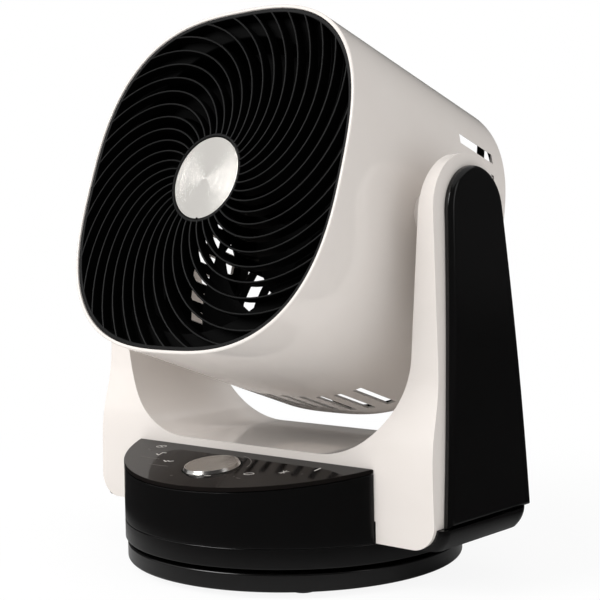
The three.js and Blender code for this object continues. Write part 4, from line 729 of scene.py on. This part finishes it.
body_shape = combined(body_shape, outer_middle, "UNION")
cord_hole = moved(rod(6.8, 110, 130, "Y", 40), Matrix.Translation((0, 0, 50)))
body_shape = combined(body_shape, cord_hole, "DIFFERENCE")
piece("body", body_shape, "turntable", black_gloss, ["main_housing"])

# %% [markdown]
# ## Control panel
#
# The panel is a separate glossy plate on the front drum, D-shaped and sloping up to the
# back. Its thin rounded edge shows as a light line. The hole for the knob leaves a dark
# ring round it.

# %% panel plate
KNOB_Y = -82
SLOPE = math.atan(PANEL_RISE)
ON_PANEL = Matrix.Translation((0, KNOB_Y, panel_z(KNOB_Y))) @ Matrix.Rotation(SLOPE, 4, "X")
plate = pulled(segment(RING_R, FRONT_BACK_Y, -1, 96), -PANEL_THICK, 0)
for v in plate.verts:
    v.co.z += panel_z(v.co.y)
plate = rounded(plate, 0.8, 3, 40)
hole = moved(rod(20.6, -9, 9, steps=96), ON_PANEL)
plate = combined(plate, hole, "DIFFERENCE")
piece("panel", plate, "turntable", panel_gloss, ["control_panel"])

# %% [markdown]
# ## Printed marks
#
# Small grey-white marks round the knob show speed, swing and timer. They are generic
# strokes: ovals, bars, waves and ticks. Each is a flat stroke that stands a few
# hundredths of a millimetre above the panel, with round ends, as screen print does.

# %% marks
def ink(name, base, shade):
    """Screen-printed ink: matt, with a little wear and thickness."""
    finish = Finish(name)
    wear = finish.noise(finish.point(), 0.6, 3)
    return finish.surface(
        Base_Color=finish.blend(wear, base, shade), Roughness=0.5 + wear * 0.2,
        Normal=finish.bump(wear, 0.01),
    )


mark_material = ink("printed marks", colour(225, 221, 216), colour(190, 186, 181))
faint_material = ink("printed lines", colour(120, 114, 110), colour(92, 87, 84))


def stroke(points, width):
    """A thin flat stroke with round ends along points (x, y) of the panel."""
    bm = bmesh.new()
    for (x0, y0), (x1, y1) in zip(points, points[1:]):
        along = math.atan2(y1 - y0, x1 - x0)
        left, right = along + math.pi / 2, along - math.pi / 2
        outline = arc((x1, y1), width / 2, right, left, 6)
        outline += arc((x0, y0), width / 2, left, left + math.pi, 6)
        face = bm.faces.new([bm.verts.new((x, y, panel_z(y) - 0.02)) for x, y in outline])
        grown = bmesh.ops.extrude_face_region(bm, geom=[face])["geom"]
        top = [part for part in grown if isinstance(part, bmesh.types.BMVert)]
        bmesh.ops.translate(bm, verts=top, vec=(0, 0, 0.06))
    bmesh.ops.recalc_face_normals(bm, faces=bm.faces[:])
    return bm


def oval_mark(centre, end, width):
    """A closed oval with one long axis and a flat look, as seen from the front."""
    long_x, long_y = end[0] - centre[0], end[1] - centre[1]
    points = []
    for k in range(17):
        turn = math.tau * k / 16
        near, far = math.cos(turn), 0.55 * math.sin(turn)
        points.append(
            (centre[0] + long_x * near - long_y * far, centre[1] + long_y * near + long_x * far)
        )
    return stroke(points, width)


lit_marks = gathered(
    oval_mark((-76.6, -58.5), (-72.8, -57.2), 0.55),
    stroke([(-79.2, -57.3), (-74.0, -59.8)], 0.5),
    stroke([(-64.7, -74.0), (-60.9, -75.6), (-61.6, -72.9), (-62.4, -70.3), (-59.5, -69.7)], 1.0),
    stroke([(-46.0, -83.8), (-42.4, -85.4), (-42.4, -83.4), (-39.6, -84.3), (-37.9, -82.6)], 1.0),
    oval_mark((37.8, -85.2), (41.1, -84.0), 0.7), stroke([(56.2, -76.2), (60.8, -71.6)], 0.5),
    stroke([(56.2, -71.9), (60.4, -75.9)], 0.5), stroke([(58.4, -77.0), (58.2, -70.8)], 0.5),
    stroke([(76.4, -64.0), (76.4, -58.6)], 1.1), stroke([(10.7, -99.3), (14.7, -97.8)], 0.7),
)
faint_marks = gathered(
    stroke([(-82.0, -66.4), (-77.4, -69.0), (-76.2, -65.8)], 0.5),
    stroke([(-71.4, -83.2), (-52.0, -82.7)], 0.4),
    stroke([(-51.1, -94.2), (-31.9, -93.3)], 0.4),
    stroke([(-12.7, -107.6), (-12.0, -107.3)], 0.8),
    stroke([(0.4, -103.2), (2.6, -102.4)], 0.6),
    stroke(arc((0, KNOB_Y), 26.5, math.radians(80), math.radians(17), 14), 0.45),
    stroke([(32.3, -94.2), (32.6, -93.4)], 0.5), stroke([(36.0, -95.0), (39.3, -95.1)], 0.5),
    stroke([(72.9, -73.1), (73.0, -71.8)], 0.6),
)
piece("printed_marks", lit_marks, "turntable", mark_material)
piece("printed_lines", faint_marks, "turntable", faint_material)

# %% [markdown]
# ## Knob
#
# The knob is a low aluminium disc with a turned face, a bright chamfered rim and a small
# finger dimple. It is spun, and a ball cuts the dimple.

# %% knob
spun_knob = brushed(
    "spun knob aluminium", colour(222, 219, 215), colour(186, 183, 179), ON_PANEL, (0, 0, 1),
    0.18, 2.0,
)
knob = lathed([
    (0, -2.3, 0), (19.4, -2.3, 0.3), (19.7, 0.1, 0.2), (18.5, 2.3, 0.3), (17.8, 2.4, 0.2),
    (17.4, 2.1, 0.2), (0, 2.1, 0),
], steps=128)
ball = bmesh.new()
bmesh.ops.create_uvsphere(ball, u_segments=48, v_segments=32, radius=5.1)
dimple_x, dimple_y = turned(math.radians(12), (13.5, 0))
moved(ball, Matrix.Translation((dimple_x, dimple_y, 2.1 - 0.6 + 5.1)))
knob = combined(knob, ball, "DIFFERENCE")
recess = spun([(0, -5), (5.1, -5), (5.1, 0.2), (3.3, 0.2), (3.3, 1.2), (0, 1.2)], steps=40)
knob = combined(knob, recess, "DIFFERENCE")
piece("knob", knob, "knob", spun_knob, ["control_knob"], ON_PANEL)

# %% [markdown]
# ## Yoke
#
# From the front the yoke is a U with straight outer sides and a saddle whose corners
# sweep up into the arms. From the side each arm is a tall fin with a round top that
# widens to its foot. Crossing the two pulled outlines gives the real form. Its edges are
# rounded before the hollow is cut, so that only the outside is soft.

# %% yoke outlines
ARM_R = 37.5
ARM_OUT = 153.5
ARM_SPREAD = 4.5
ARM_IN = 142
TOE_OUT = 158
TOE_R = 17
COVER_R = 29.7
COVER_Y = 4
COVER_PROUD = 6
LEAN = math.radians(9)
DRAFT = math.radians(4.25)
YOKE_LOW = 46.3
SADDLE_Z = 84.9
SADDLE_R = 72
YOKE_WALL = 3
BUSH_R = 9.4


def outer_x(z):
    """Outer face of an arm."""
    return ARM_OUT + ARM_SPREAD * (PIVOT_Z - z) / (PIVOT_Z - YOKE_LOW)


def inner_x(z):
    """Inner face of an arm."""
    return ARM_IN - (PIVOT_Z - z) * math.tan(DRAFT)


def yoke_front(inset, low):
    """The U from the front."""
    top = PIVOT_Z + ARM_R + 1
    radius = SADDLE_R + inset
    centre_z = SADDLE_Z + SADDLE_R
    centre_x = inner_x(centre_z) - SADDLE_R / math.cos(DRAFT)
    return [
        (-outer_x(low) + inset, low), (outer_x(low) - inset, low), (outer_x(top) - inset, top),
        (inner_x(top) + inset, top),
        *arc((centre_x, centre_z), radius, -DRAFT, -math.pi / 2, 28),
        *arc((-centre_x, centre_z), radius, -math.pi / 2, DRAFT - math.pi, 28),
        (-inner_x(top) - inset, top), (-outer_x(top) + inset, top),
    ]


def bezier(points, steps):
    """Points of a quadratic or cubic curve, without its first one."""
    found = []
    for k in range(1, steps + 1):
        t = k / steps
        line = [Vector(p) for p in points]
        while len(line) > 1:
            line = [a.lerp(b, t) for a, b in zip(line, line[1:])]
        found.append(tuple(line[0]))
    return found


def over_the_top(centre_y, radius, foot_y, low):
    """Round the top of an arm and down its rear edge."""
    start = (centre_y + radius * math.cos(LEAN), PIVOT_Z + radius * math.sin(LEAN))
    control = (start[0] + 107 * math.sin(LEAN), start[1] - 107 * math.cos(LEAN))
    return arc((centre_y, PIVOT_Z), radius, math.pi, LEAN, 40)[1:] + bezier(
        [start, control, (foot_y, low)], 16
    )


def arm_side(inset, low):
    """An arm from the side."""
    foot_y, top_y = -47.4 + inset, -ARM_R + inset
    front = [(foot_y, low), (foot_y, 75)]
    front += bezier([(foot_y, 75), (foot_y, 112.5), (top_y, 112.5), (top_y, 150)], 14)
    front.append((top_y, PIVOT_Z))
    return front + over_the_top(0, ARM_R - inset, 60.5 - inset, low)


def cover_side(inset, low):
    """A side cover from the side."""
    foot_y, top_y = -37.6 + inset, COVER_Y - COVER_R + inset
    bow = ((foot_y + top_y) / 2 + 3.5, (low + PIVOT_Z) / 2)
    front = [(foot_y, low)] + bezier([(foot_y, low), bow, (top_y, PIVOT_Z)], 16)
    return front + over_the_top(COVER_Y, COVER_R - inset, 56 - inset, low)


# %% yoke
yoke = combined(
    pulled(yoke_front(0, YOKE_LOW), -90, 110, "Y"),
    pulled(arm_side(0, YOKE_LOW), -180, 180, "X"), "INTERSECT",
)
toe_in = math.sqrt(RING_R**2 - FRONT_BACK_Y**2) + 0.6
for side in (1, -1):
    outline = [(toe_in, 56), (toe_in, BODY_LOW), (TOE_OUT - TOE_R, BODY_LOW)]
    outline += arc((TOE_OUT - TOE_R, BODY_LOW + TOE_R), TOE_R, -math.pi / 2, 0, 20)[1:]
    outline.append((outer_x(56), 56))
    toe = pulled([(side * x, z) for x, z in outline], -47.4, -44.4, "Y")
    yoke = combined(yoke, toe, "UNION")
yoke = rounded(
    yoke, 1.5, 4, 40, lambda e: not all(abs(v.co.z - YOKE_LOW) < 0.1 for v in e.verts)
)
yoke_hollow = combined(
    pulled(yoke_front(YOKE_WALL, 36), -90, 110, "Y"),
    pulled(arm_side(YOKE_WALL, 36), -180, 180, "X"), "INTERSECT",
)
yoke = combined(yoke, yoke_hollow, "DIFFERENCE")
window = pulled(cover_side(5, YOKE_LOW + 5), 147, 178, "X")
mirrored = moved(window.copy(), to_side(-1))
yoke = combined(yoke, gathered(window, mirrored), "DIFFERENCE")
for side in (1, -1):
    at_pivot = Matrix.Translation((0, 0, PIVOT_Z)) @ to_side(side)
    boss = moved(rod(14, 141, 147, "X", 64, BUSH_R), at_pivot)
    yoke = combined(yoke, boss, "UNION")
    bore = moved(rod(BUSH_R, 130, 150, "X", 64), at_pivot)
    yoke = combined(yoke, bore, "DIFFERENCE")
piece("yoke", yoke, "turntable", white_gloss, ["yoke_frame"])

# %% [markdown]
# ## Side covers
#
# A black pod closes each arm. It stands proud of the white by six millimetres and its
# edge is rounded by about four, which draws the long soft highlight down its side. The
# pod is pulled sideways, its outer rim is rounded, and then it leans with the arm.

# %% side covers
COVER_FACE = ARM_OUT + COVER_PROUD
for label, side in (("right", 1), ("left", -1)):
    cover = pulled(cover_side(0, YOKE_LOW), 150, COVER_FACE, "X")
    cover = rounded(cover, 4, 8, 40, lambda e: all(v.co.x > COVER_FACE - 0.1 for v in e.verts))
    inner = pulled(cover_side(3.4, YOKE_LOW + 3.4), 120, COVER_FACE - 2.4, "X")
    behind = pulled(oblong(-90, 90, 20, 300), 120, ARM_OUT + 0.3, "X")
    cover = combined(cover, inner, "DIFFERENCE")
    cover = combined(cover, behind, "DIFFERENCE")
    for v in cover.verts:
        v.co.x += outer_x(v.co.z) - ARM_OUT
    if side < 0:
        moved(cover, to_side(side))
    nodes = [f"side_cover_{label}"]
    piece(f"cover_{label}", cover, "turntable", black_gloss, nodes)

# %% [markdown]
# ## The soft square
#
# The head is neither round nor square: its outline is a superellipse. Every part of the
# head is first spun as if it were round, and then each vertex slides out to the soft
# square. Vertices crowd into the corners, where the curve is tightest.

# %% soft square
SQUARENESS = 2.74


def soft_square(angle):
    """Radius of the soft square for a half size of one."""
    total = abs(math.cos(angle)) ** SQUARENESS + abs(math.sin(angle)) ** SQUARENESS
    return total ** (-1 / SQUARENESS)


def half_size(x, z):
    """The half size of the soft square that a point lies on."""
    return (abs(x) ** SQUARENESS + abs(z) ** SQUARENESS) ** (1 / SQUARENESS)


def softened(bm, round_within=0):
    """Slides a spun mesh from the circle to the soft square."""
    for v in bm.verts:
        turn = math.atan2(v.co.z, v.co.x)
        angle = turn + 0.1 * math.sin(4 * turn)
        size = math.hypot(v.co.x, v.co.z)
        radius = size * soft_square(angle) if size > round_within + 0.01 else size
        v.co.x, v.co.z = radius * math.cos(angle), radius * math.sin(angle)
    return bm


HEAD_DEPTH = 176
FRONT_Y = -HEAD_DEPTH / 2
REAR_EDGE_Y = HEAD_DEPTH / 2
HEAD_WALL = 3.2


def head_half(y):
    """Half width of the head, which flares a little towards the back."""
    return 121.4 + 1.6 * (y - FRONT_Y) / HEAD_DEPTH


# %% [markdown]
# ## Head shell
#
# The shell is a deep tube with a crisp front lip and a rabbet for the grille. Behind, on
# each of its four sides, nine slots let air in. They are cut as a mould would make them,
# by straight planes: the two skins are split along every slot's edges, the patches are
# taken out, and each pair of holes is bridged by the slot's walls. The wall is thinner
# there and the inner holes are a little wider, as a mould needs to let go, so that the
# slots stay open when seen from the side. The inside of the white shell gets a flat
# black as painted shade, so that no bright wall shows behind the blades.

# %% head shell skins
SLOT_HALF = 3.5
SLOT_PITCH = 16.35
SLOT_LOW = FRONT_Y + 119
SLOT_HIGH = FRONT_Y + 160
wide_in = head_half(FRONT_Y) - HEAD_WALL + 1
wide_out = head_half(REAR_EDGE_Y) - HEAD_WALL + 1
THINNER = 0.3
BORE_R = 6.3
BOSS_R = 14.5
BOSS_FACE = 138.9
BOSS_ROOT = 116.5
shell = softened(
    lathed([
        (wide_in, FRONT_Y, 0.5), (head_half(FRONT_Y), FRONT_Y, 1.3),
        (head_half(REAR_EDGE_Y), REAR_EDGE_Y, 2.0), (wide_out, REAR_EDGE_Y, 0.5),
        (wide_out, REAR_EDGE_Y - 10, 0), (wide_out - 1, REAR_EDGE_Y - 10, 0.3),
        (wide_out - 1, SLOT_HIGH + 5, 0.5), (wide_out + THINNER, SLOT_HIGH + 3, 0.5),
        (wide_out + THINNER - 0.4, SLOT_LOW - 3, 0.5), (wide_out - 1.4, SLOT_LOW - 5, 0.5),
        (wide_in - 1, FRONT_Y + 13, 0.3), (wide_in, FRONT_Y + 13, 0),
    ], "Y", 208)
)


def split(bm, faces, point, normal):
    """Cuts some of the faces along a plane."""
    parts = set(faces)
    for face in faces:
        parts.update(face.edges)
        parts.update(face.verts)
    bmesh.ops.bisect_plane(bm, geom=list(parts), plane_co=point, plane_no=normal)


for y in (SLOT_LOW, SLOT_HIGH):
    split(shell, shell.faces[:], (0, y, 0), (0, 1, 0))
slot_middles = [(k - 4) * SLOT_PITCH for k in range(9)]
for across, along in ((0, 2), (2, 0)):
    normal = tuple(1 if i == across else 0 for i in range(3))
    for middle_at in slot_middles:
        for edge_at in (middle_at - SLOT_HALF, middle_at + SLOT_HALF):
            band = [
                f
                for f in shell.faces
                if SLOT_LOW < f.calc_center_median().y < SLOT_HIGH
                and abs(f.calc_center_median()[along]) > 80
            ]
            split(shell, band, tuple(edge_at * n for n in normal), normal)


# %% cut the slots
def slot_of(centre):
    """Which slot a point is in, as (side, number), or None."""
    if not SLOT_LOW < centre.y < SLOT_HIGH:
        return None
    for across, along in ((0, 2), (2, 0)):
        if abs(centre[along]) > 80 and abs(centre[along]) > abs(centre[across]):
            for number, middle_at in enumerate(slot_middles):
                if abs(centre[across] - middle_at) < SLOT_HALF:
                    return (along, centre[along] > 0, number)
    return None


patches = [f for f in shell.faces if slot_of(f.calc_center_median())]
bmesh.ops.delete(shell, geom=patches, context="FACES")
DRAW = 1.1
INNER_SKIN = 1.2
slot_middle_y = (SLOT_LOW + SLOT_HIGH) / 2
rims = {v for e in shell.edges if len(e.link_faces) == 1 for v in e.verts}
for v in rims:
    along = 2 if abs(v.co.z) > abs(v.co.x) else 0
    if half_size(v.co.x, v.co.z) < head_half(v.co.y) - INNER_SKIN:
        middle = SLOT_PITCH * round(v.co[2 - along] / SLOT_PITCH)
        v.co[2 - along] += math.copysign(DRAW, v.co[2 - along] - middle)
        from_middle = v.co.y - slot_middle_y
        if abs(from_middle) > (SLOT_HIGH - SLOT_LOW) / 2 - 0.5:
            v.co.y += math.copysign(DRAW, from_middle)
walls = {}
for e in shell.edges:
    if len(e.link_faces) == 1:
        inside = e.link_faces[0].calc_center_median()
        middle = (e.verts[0].co + e.verts[1].co) / 2
        toward = middle + (middle - inside).normalized() * 0.4
        along = 2 if abs(middle.z) > abs(middle.x) else 0
        number = round(toward[2 - along] / SLOT_PITCH)
        walls.setdefault((along, middle[along] > 0, number), []).append(e)
for edges in walls.values():
    bmesh.ops.bridge_loops(shell, edges=edges)
print(len(walls), "slots cut")
shell = merged(shell, 0.01)

# %% pivot bosses
for side in (1, -1):
    boss = moved(
        lathed([
            (BORE_R, BOSS_ROOT, 0.3), (BOSS_R, BOSS_ROOT, 0.4), (BOSS_R, BOSS_FACE, 1.2),
            (BORE_R, BOSS_FACE, 0.4),
        ], "X", 96),
        to_side(side),
    )
    shell = combined(shell, boss, "UNION")
    bore = moved(rod(BORE_R, 100, 137, "X"), to_side(side))
    shell = combined(shell, bore, "DIFFERENCE")
# Painted shade: the inner faces of the white shell take the black matt finish instead of the
# shell's own white.
for f in shell.faces:
    x, y, z = f.calc_center_median()
    inner = half_size(x, z) < head_half(y) - INNER_SKIN - 0.3
    if inner and FRONT_Y + 13 < y < REAR_EDGE_Y - 2:
        f.material_index = 1
head_shell = piece(
    "shell", shell, "head", white_gloss, ["head_shell"], HEAD, crisp=24
)
# The black matt second finish is painted shade on the shell's white inner wall.
head_shell.data.materials.append(black_matt)

# %% [markdown]
# ## Spiral grille
#
# The grille is the fan's face: 37 thin ribs leave the hub and curl counter-clockwise as
# they run out to the rim. Each rib turns faster the further out it is. A rib is a small
# round-nosed section that is extruded step by step along that curve. Made once, it is
# copied round the hub.

# %% one rib and its copies
RIB_SWEEP = math.radians(56)
RIB_CURL = 1.25
RIB_REACH = 119


def rib_angle(radius, hub):
    """How far a rib has turned at a radius."""
    return RIB_SWEEP * (max(0, radius - hub) / (RIB_REACH - hub)) ** RIB_CURL


def curled_rib(hub, half_size, start, front, depth, thick, steps):
    """A rib from the hub to the soft square of a half size, nose at the front."""
    end = half_size
    for _ in range(12):
        end = half_size * soft_square(start + rib_angle(end, hub))
    nose = [(-0.5, depth), (-0.5, 0.55), (-0.44, 0.28), (-0.32, 0.1), (-0.16, 0.02), (0, 0)]
    nose += [(-a, b) for a, b in reversed(nose[:-1])]
    section = [(a * thick, b if b > 1 else b * thick) for a, b in nose]
    bm = bmesh.new()
    ring = None
    for k in range(steps + 1):
        radius = hub - 1 + (end - hub + 1) * k / steps
        here = Vector(turned(start + rib_angle(radius, hub), (radius, 0)))
        ahead = Vector(turned(start + rib_angle(radius + 0.2, hub), (radius + 0.2, 0)))
        across = (ahead - here).normalized()
        points = [(here.x + across.y * a, front + b, here.y - across.x * a) for a, b in section]
        if ring is None:
            first = [bm.verts.new(p) for p in points]
            ring = [bm.edges.new(pair) for pair in zip(first, first[1:] + first[:1])]
            bm.faces.new(first)
            last = first
            continue
        grown = bmesh.ops.extrude_edge_only(bm, edges=ring)["geom"]
        fresh = [g for g in grown if isinstance(g, bmesh.types.BMVert)]
        pairs = {v: min(fresh, key=lambda f: (f.co - v.co).length) for v in last}
        last = [pairs[v] for v in last]
        for v, p in zip(last, points):
            v.co = p
        ring = [bm.edges.get(pair) for pair in zip(last, last[1:] + last[:1])]
    bm.faces.new(last)
    return merged(bm)


# %% front grille
GRILLE_Y = FRONT_Y + 1
RIM_HALF = wide_in - 0.3
RIM_WIDTH = 2.7
CAP_Y = FRONT_Y + 1.9
RIBS = 37
HUB_R = 31.6
CAP_SEAT_R = 29.7


def grille_rim(half, face, seat):
    """The rim of a grille, rounder at its face than at its seat."""
    inner = half - RIM_WIDTH
    corners = [(inner, face, 0.8), (half, face, 0.4), (half, seat, 0.3), (inner, seat, 0.3)]
    return softened(lathed(corners, "Y", 208))


grille_parts = [
    curled_rib(HUB_R, RIM_HALF - 1.2, math.tau * k / RIBS, GRILLE_Y, 8, 1.5, 22)
    for k in range(RIBS)
]
grille_parts.append(grille_rim(RIM_HALF, GRILLE_Y, GRILLE_Y + 9))
grille_parts.append(
    lathed([
        (0, CAP_Y + 2.7, 0), (CAP_SEAT_R, CAP_Y + 2.7, 0),
        (CAP_SEAT_R, GRILLE_Y + 0.4, 0.3), (HUB_R, GRILLE_Y + 0.4, 0.9),
        (HUB_R, GRILLE_Y + 8, 0.5), (0, GRILLE_Y + 8, 0),
    ], "Y", 128)
)
piece(
    "grille", gathered(*grille_parts), "head", black_satin, ["front_grille"],
    HEAD,
)

# %% [markdown]
# ## Centre cap
#
# The cap is a thin aluminium disc let into the hub, turned to a fine brushed face with a
# polished chamfer. A tiny notch at six o'clock keys it, so that the brushing always
# lies the same way round.

# %% cap
CAP_R = 29.4
brushed_cap = brushed(
    "brushed cap aluminium", colour(246, 243, 238), colour(214, 210, 204), HEAD, (0, 1, 0),
    0.18, 1.7,
)
cap = lathed([
    (0, CAP_Y, 0), (CAP_R - 0.7, CAP_Y, 0.25), (CAP_R, CAP_Y + 0.6, 0.25),
    (CAP_R, CAP_Y + 2.4, 0.2), (0, CAP_Y + 2.4, 0),
], "Y", 160)
notch = rod(1.6, CAP_Y - 2, CAP_Y + 4, "Y", 24)
moved(notch, Matrix.Translation((0, 0, -CAP_R - 0.2)))
cap = combined(cap, notch, "DIFFERENCE")
piece("cap", cap, "head", brushed_cap, ["centre_cap"], HEAD)

# %% [markdown]
# ## Rear grille
#
# Behind, a second spiral guards the motor. It has half as many ribs, round a plain hub.

# %% rear grille
REAR_FACE = REAR_EDGE_Y - 0.3
REAR_SEAT = REAR_EDGE_Y - 9.7
REAR_HALF = wide_out - 0.4
REAR_RIBS = 18
REAR_HUB_R = 30
rear = gathered(
    *(
        curled_rib(
            REAR_HUB_R, REAR_HALF - 1.2, math.tau * k / REAR_RIBS, -REAR_FACE, 8, 1.8, 18
        )
        for k in range(REAR_RIBS)
    )
)
for v in rear.verts:
    v.co.y = -v.co.y
bmesh.ops.reverse_faces(rear, faces=rear.faces[:])
rear_rim = grille_rim(REAR_HALF, REAR_FACE, REAR_SEAT)
rear_hub = lathed([
    (0, REAR_FACE - 8, 0), (REAR_HUB_R, REAR_FACE - 8, 0.5), (REAR_HUB_R, REAR_FACE, 1.5),
    (0, REAR_FACE, 0),
], "Y", 96)
piece(
    "rear_guard", gathered(rear, rear_rim, rear_hub), "head", black_satin,
    ["rear_grille"], HEAD,
)

# %% [markdown]
# ## Air duct, fan and motor
#
# Through the ribs one looks into a round duct, at seven broad blades and at daylight
# between them. A blade is a sheet that twists from a steep root to a flatter tip: a grid
# is laid out flat, each vertex is sent to its radius and angle, and the sheet gets its
# thickness afterwards.

# %% duct
DUCT_FRONT = FRONT_Y + 10.5
duct = softened(
    lathed([
        (105, DUCT_FRONT, 1.5), (RIM_HALF, DUCT_FRONT, 0.3),
        (RIM_HALF, DUCT_FRONT + 2.2, 0.3), (107.2, DUCT_FRONT + 2.2, 1),
        (107.2, DUCT_FRONT + 64, 0.4), (105, DUCT_FRONT + 64, 0.4),
    ], "Y", 176),
    107.25,
)
piece("duct", duct, "head", black_matt, ["air_duct"], HEAD)

# %% fan wheel
FAN_FRONT = FRONT_Y + 22
FAN_REAR = FAN_FRONT + 36
BLADES = 7
BLADE_ROOT = 24
BLADE_TIP = 101.5


def blade(turn):
    """One twisted blade, thinner at its edges."""
    bm = bmesh.new()
    bmesh.ops.create_grid(bm, x_segments=18, y_segments=14, size=0.5)
    rest = {v: v.co.copy() for v in bm.verts}
    for v, flat in rest.items():
        along, across = flat.x + 0.5, flat.y
        radius = BLADE_ROOT + (BLADE_TIP - BLADE_ROOT) * along
        height = 32 - 10 * along
        chord = math.radians(44 - 4 * along)
        angle = turn + math.radians(22) * along * along + chord * across
        arch = 4 * (1 - 4 * across * across)
        x, z = turned(angle, (radius, 0))
        v.co = (x, (FAN_FRONT + FAN_REAR) / 2 - height * across - arch, z)
    bmesh.ops.recalc_face_normals(bm, faces=bm.faces[:])
    edge_of = {v: max(abs(2 * rest[v].y), 2 * rest[v].x) for v in bm.verts}
    thick = {v: 2.2 if edge_of[v] < 0.9 else 1.1 for v in bm.verts}
    front_of = {v: v.normal.copy() for v in bm.verts}
    grown = bmesh.ops.extrude_face_region(bm, geom=bm.faces[:])["geom"]
    far = [g for g in grown if isinstance(g, bmesh.types.BMVert)]
    near = {tuple(round(c, 5) for c in v.co): v for v in front_of}
    for v in far:
        twin = near[tuple(round(c, 5) for c in v.co)]
        v.co = twin.co - front_of[twin] * thick[twin] / 2
    for v in front_of:
        v.co = v.co + front_of[v] * thick[v] / 2
    return merged(bm)


hub = lathed([
    (4.3, FAN_FRONT, 0), (15, FAN_FRONT, 4), (25, FAN_FRONT + 5, 3), (25, FAN_REAR, 0.4),
    (22, FAN_REAR, 0.4), (22, FAN_FRONT + 8, 1), (7.3, FAN_FRONT + 8, 1),
    (7.3, FAN_REAR, 0.3), (4.3, FAN_REAR, 0.3),
], "Y", 96)
wheel = gathered(hub, *(blade(math.tau * k / BLADES) for k in range(BLADES)))
piece("fan_wheel", wheel, "rotor", black_matt, ["impeller"], HEAD, crisp=40)

# %% motor
MOTOR_FRONT = -28.2
MOTOR_REAR = 17.8
fins = []
for k in range(5):
    at = MOTOR_FRONT + 27 + 3.4 * k
    fins += [(38, at, 0.3), (38, at + 1.7, 0.3), (36.6, at + 1.7, 0.3), (36.6, at + 3.4, 0.3)]
motor = lathed([
    (9.3, MOTOR_FRONT, 0.3), (34, MOTOR_FRONT, 1), (38, MOTOR_FRONT + 4, 1), (38, -4.9, 0),
    (46, -4.9, 0.4), (46, -1.9, 0.4), *[f for f in fins if f[1] > -1.5],
    (36, MOTOR_REAR, 1.5), (9.3, MOTOR_REAR, 0.3), (9.3, MOTOR_REAR - 5.3, 0),
    (4.6, MOTOR_REAR - 5.3, 0), (4.6, MOTOR_FRONT + 5.3, 0), (9.3, MOTOR_FRONT + 5.3, 0),
], "Y", 96)
piece("motor", motor, "head", motor_alloy, ["motor_housing"], HEAD)

# %% [markdown]
# ## Floor, backdrop and light
#
# A product shot on white: the floor and the world are white to the camera, while the
# lamps stay soft and plain. Black gloss shows whatever it mirrors, so the floor and the
# world that the plastics mirror are a dim grey, with softboxes that draw the highlights.
# Close round the foot the mirrored floor is a lighter grey: a painted pool of light that
# the black foot and ring reflect.

# %% floor and world
floor_finish = Finish("floor")
rays = floor_finish.node("LightPath")
seen = floor_finish.out(rays, "Is Camera Ray")
mirrored_ray = floor_finish.out(rays, "Is Glossy Ray")
from_foot = floor_finish.vector("LENGTH", floor_finish.out(floor_finish.node("TexCoord"), 3))
far = floor_finish.math("MULTIPLY", from_foot - 0.25, 2.4, clamp=True)
off_foot = floor_finish.math("MULTIPLY", from_foot - 0.14, 9.0, clamp=True)
matte = floor_finish.node("BsdfDiffuse", Roughness=0.5)
matte.inputs["Color"].default_value = colour(245, 245, 245)
glow = floor_finish.node("Emission", Strength=1.0)
# Painted pool of light: within about 0.14 m of the middle, the floor that glossy rays see is a
# lighter grey, which fades to the dim grey by 0.25 m.
painted_pool_floor = floor_finish.node("BsdfDiffuse")
painted_pool_floor.inputs["Color"].default_value = colour(170, 170, 170)
dim_floor = floor_finish.node("BsdfDiffuse")
dim_floor.inputs["Color"].default_value = colour(40, 40, 40)
dark = floor_finish.node("MixShader", Fac=off_foot)
first_mix = floor_finish.node("MixShader", Fac=mirrored_ray)
second_mix = floor_finish.node("MixShader", Fac=seen * (0.9 + far * 0.1))
floor_out = floor_finish.node("OutputMaterial")
link = floor_finish.tree.links.new
link(painted_pool_floor.outputs[0], dark.inputs[1])
link(dim_floor.outputs[0], dark.inputs[2])
link(matte.outputs[0], first_mix.inputs[1])
link(dark.outputs[0], first_mix.inputs[2])
link(first_mix.outputs[0], second_mix.inputs[1])
link(glow.outputs[0], second_mix.inputs[2])
link(second_mix.outputs[0], floor_out.inputs["Surface"])
floor_mesh = bpy.data.meshes.new("floor")
floor_bm = bmesh.new()
bmesh.ops.create_grid(floor_bm, x_segments=1, y_segments=1, size=6)
floor_bm.to_mesh(floor_mesh)
floor_bm.free()
floor_mesh.materials.append(floor_finish.material)
floor = bpy.data.objects.new("floor", floor_mesh)
bpy.context.scene.collection.objects.link(floor)

world = bpy.data.worlds.new("studio")
bpy.context.scene.world = world
sky = Finish("studio", world)
sky_rays = sky.node("LightPath")
sky_seen = sky.out(sky_rays, "Is Camera Ray")
sky_mirrored = sky.out(sky_rays, "Is Glossy Ray")
background = sky.node("Background")
background.inputs["Color"].default_value = (1, 1, 1, 1)
AMBIENT = 0.66
MIRRORED = 0.05
level = AMBIENT + sky_seen * (1 - AMBIENT) - sky_mirrored * (AMBIENT - MIRRORED)
link = sky.tree.links.new
link(level.socket, background.inputs["Strength"])
world_out = sky.node("OutputWorld")
link(background.outputs[0], world_out.inputs["Surface"])


# %% lamps
def softbox(name, place, target, width, height, watts):
    """A rectangular soft light that looks at a point."""
    data = bpy.data.lights.new(name, "AREA")
    data.shape = "RECTANGLE"
    data.size, data.size_y = width, height
    data.energy = watts
    lamp = bpy.data.objects.new(name, data)
    lamp.location = place
    aim = (Vector(target) - Vector(place)).to_track_quat("-Z", "Y")
    lamp.rotation_euler = aim.to_euler()
    bpy.context.scene.collection.objects.link(lamp)
    print(name, watts, "W")


softbox("key", (-0.55, -1.5, 1.25), (0, 0, 0.2), 0.9, 0.9, 22)
softbox("fill", (-1.15, -1.15, 0.9), (0, 0, 0.25), 1.6, 1.4, 4)
softbox("side", (1.6, 0.1, 0.9), (0, 0, 0.2), 0.5, 1.2, 1.5)
softbox("top", (0.1, 0.3, 1.6), (0, 0, 0.2), 2.2, 2.2, 6)

view = bpy.context.scene.view_settings
view.view_transform = "Standard"
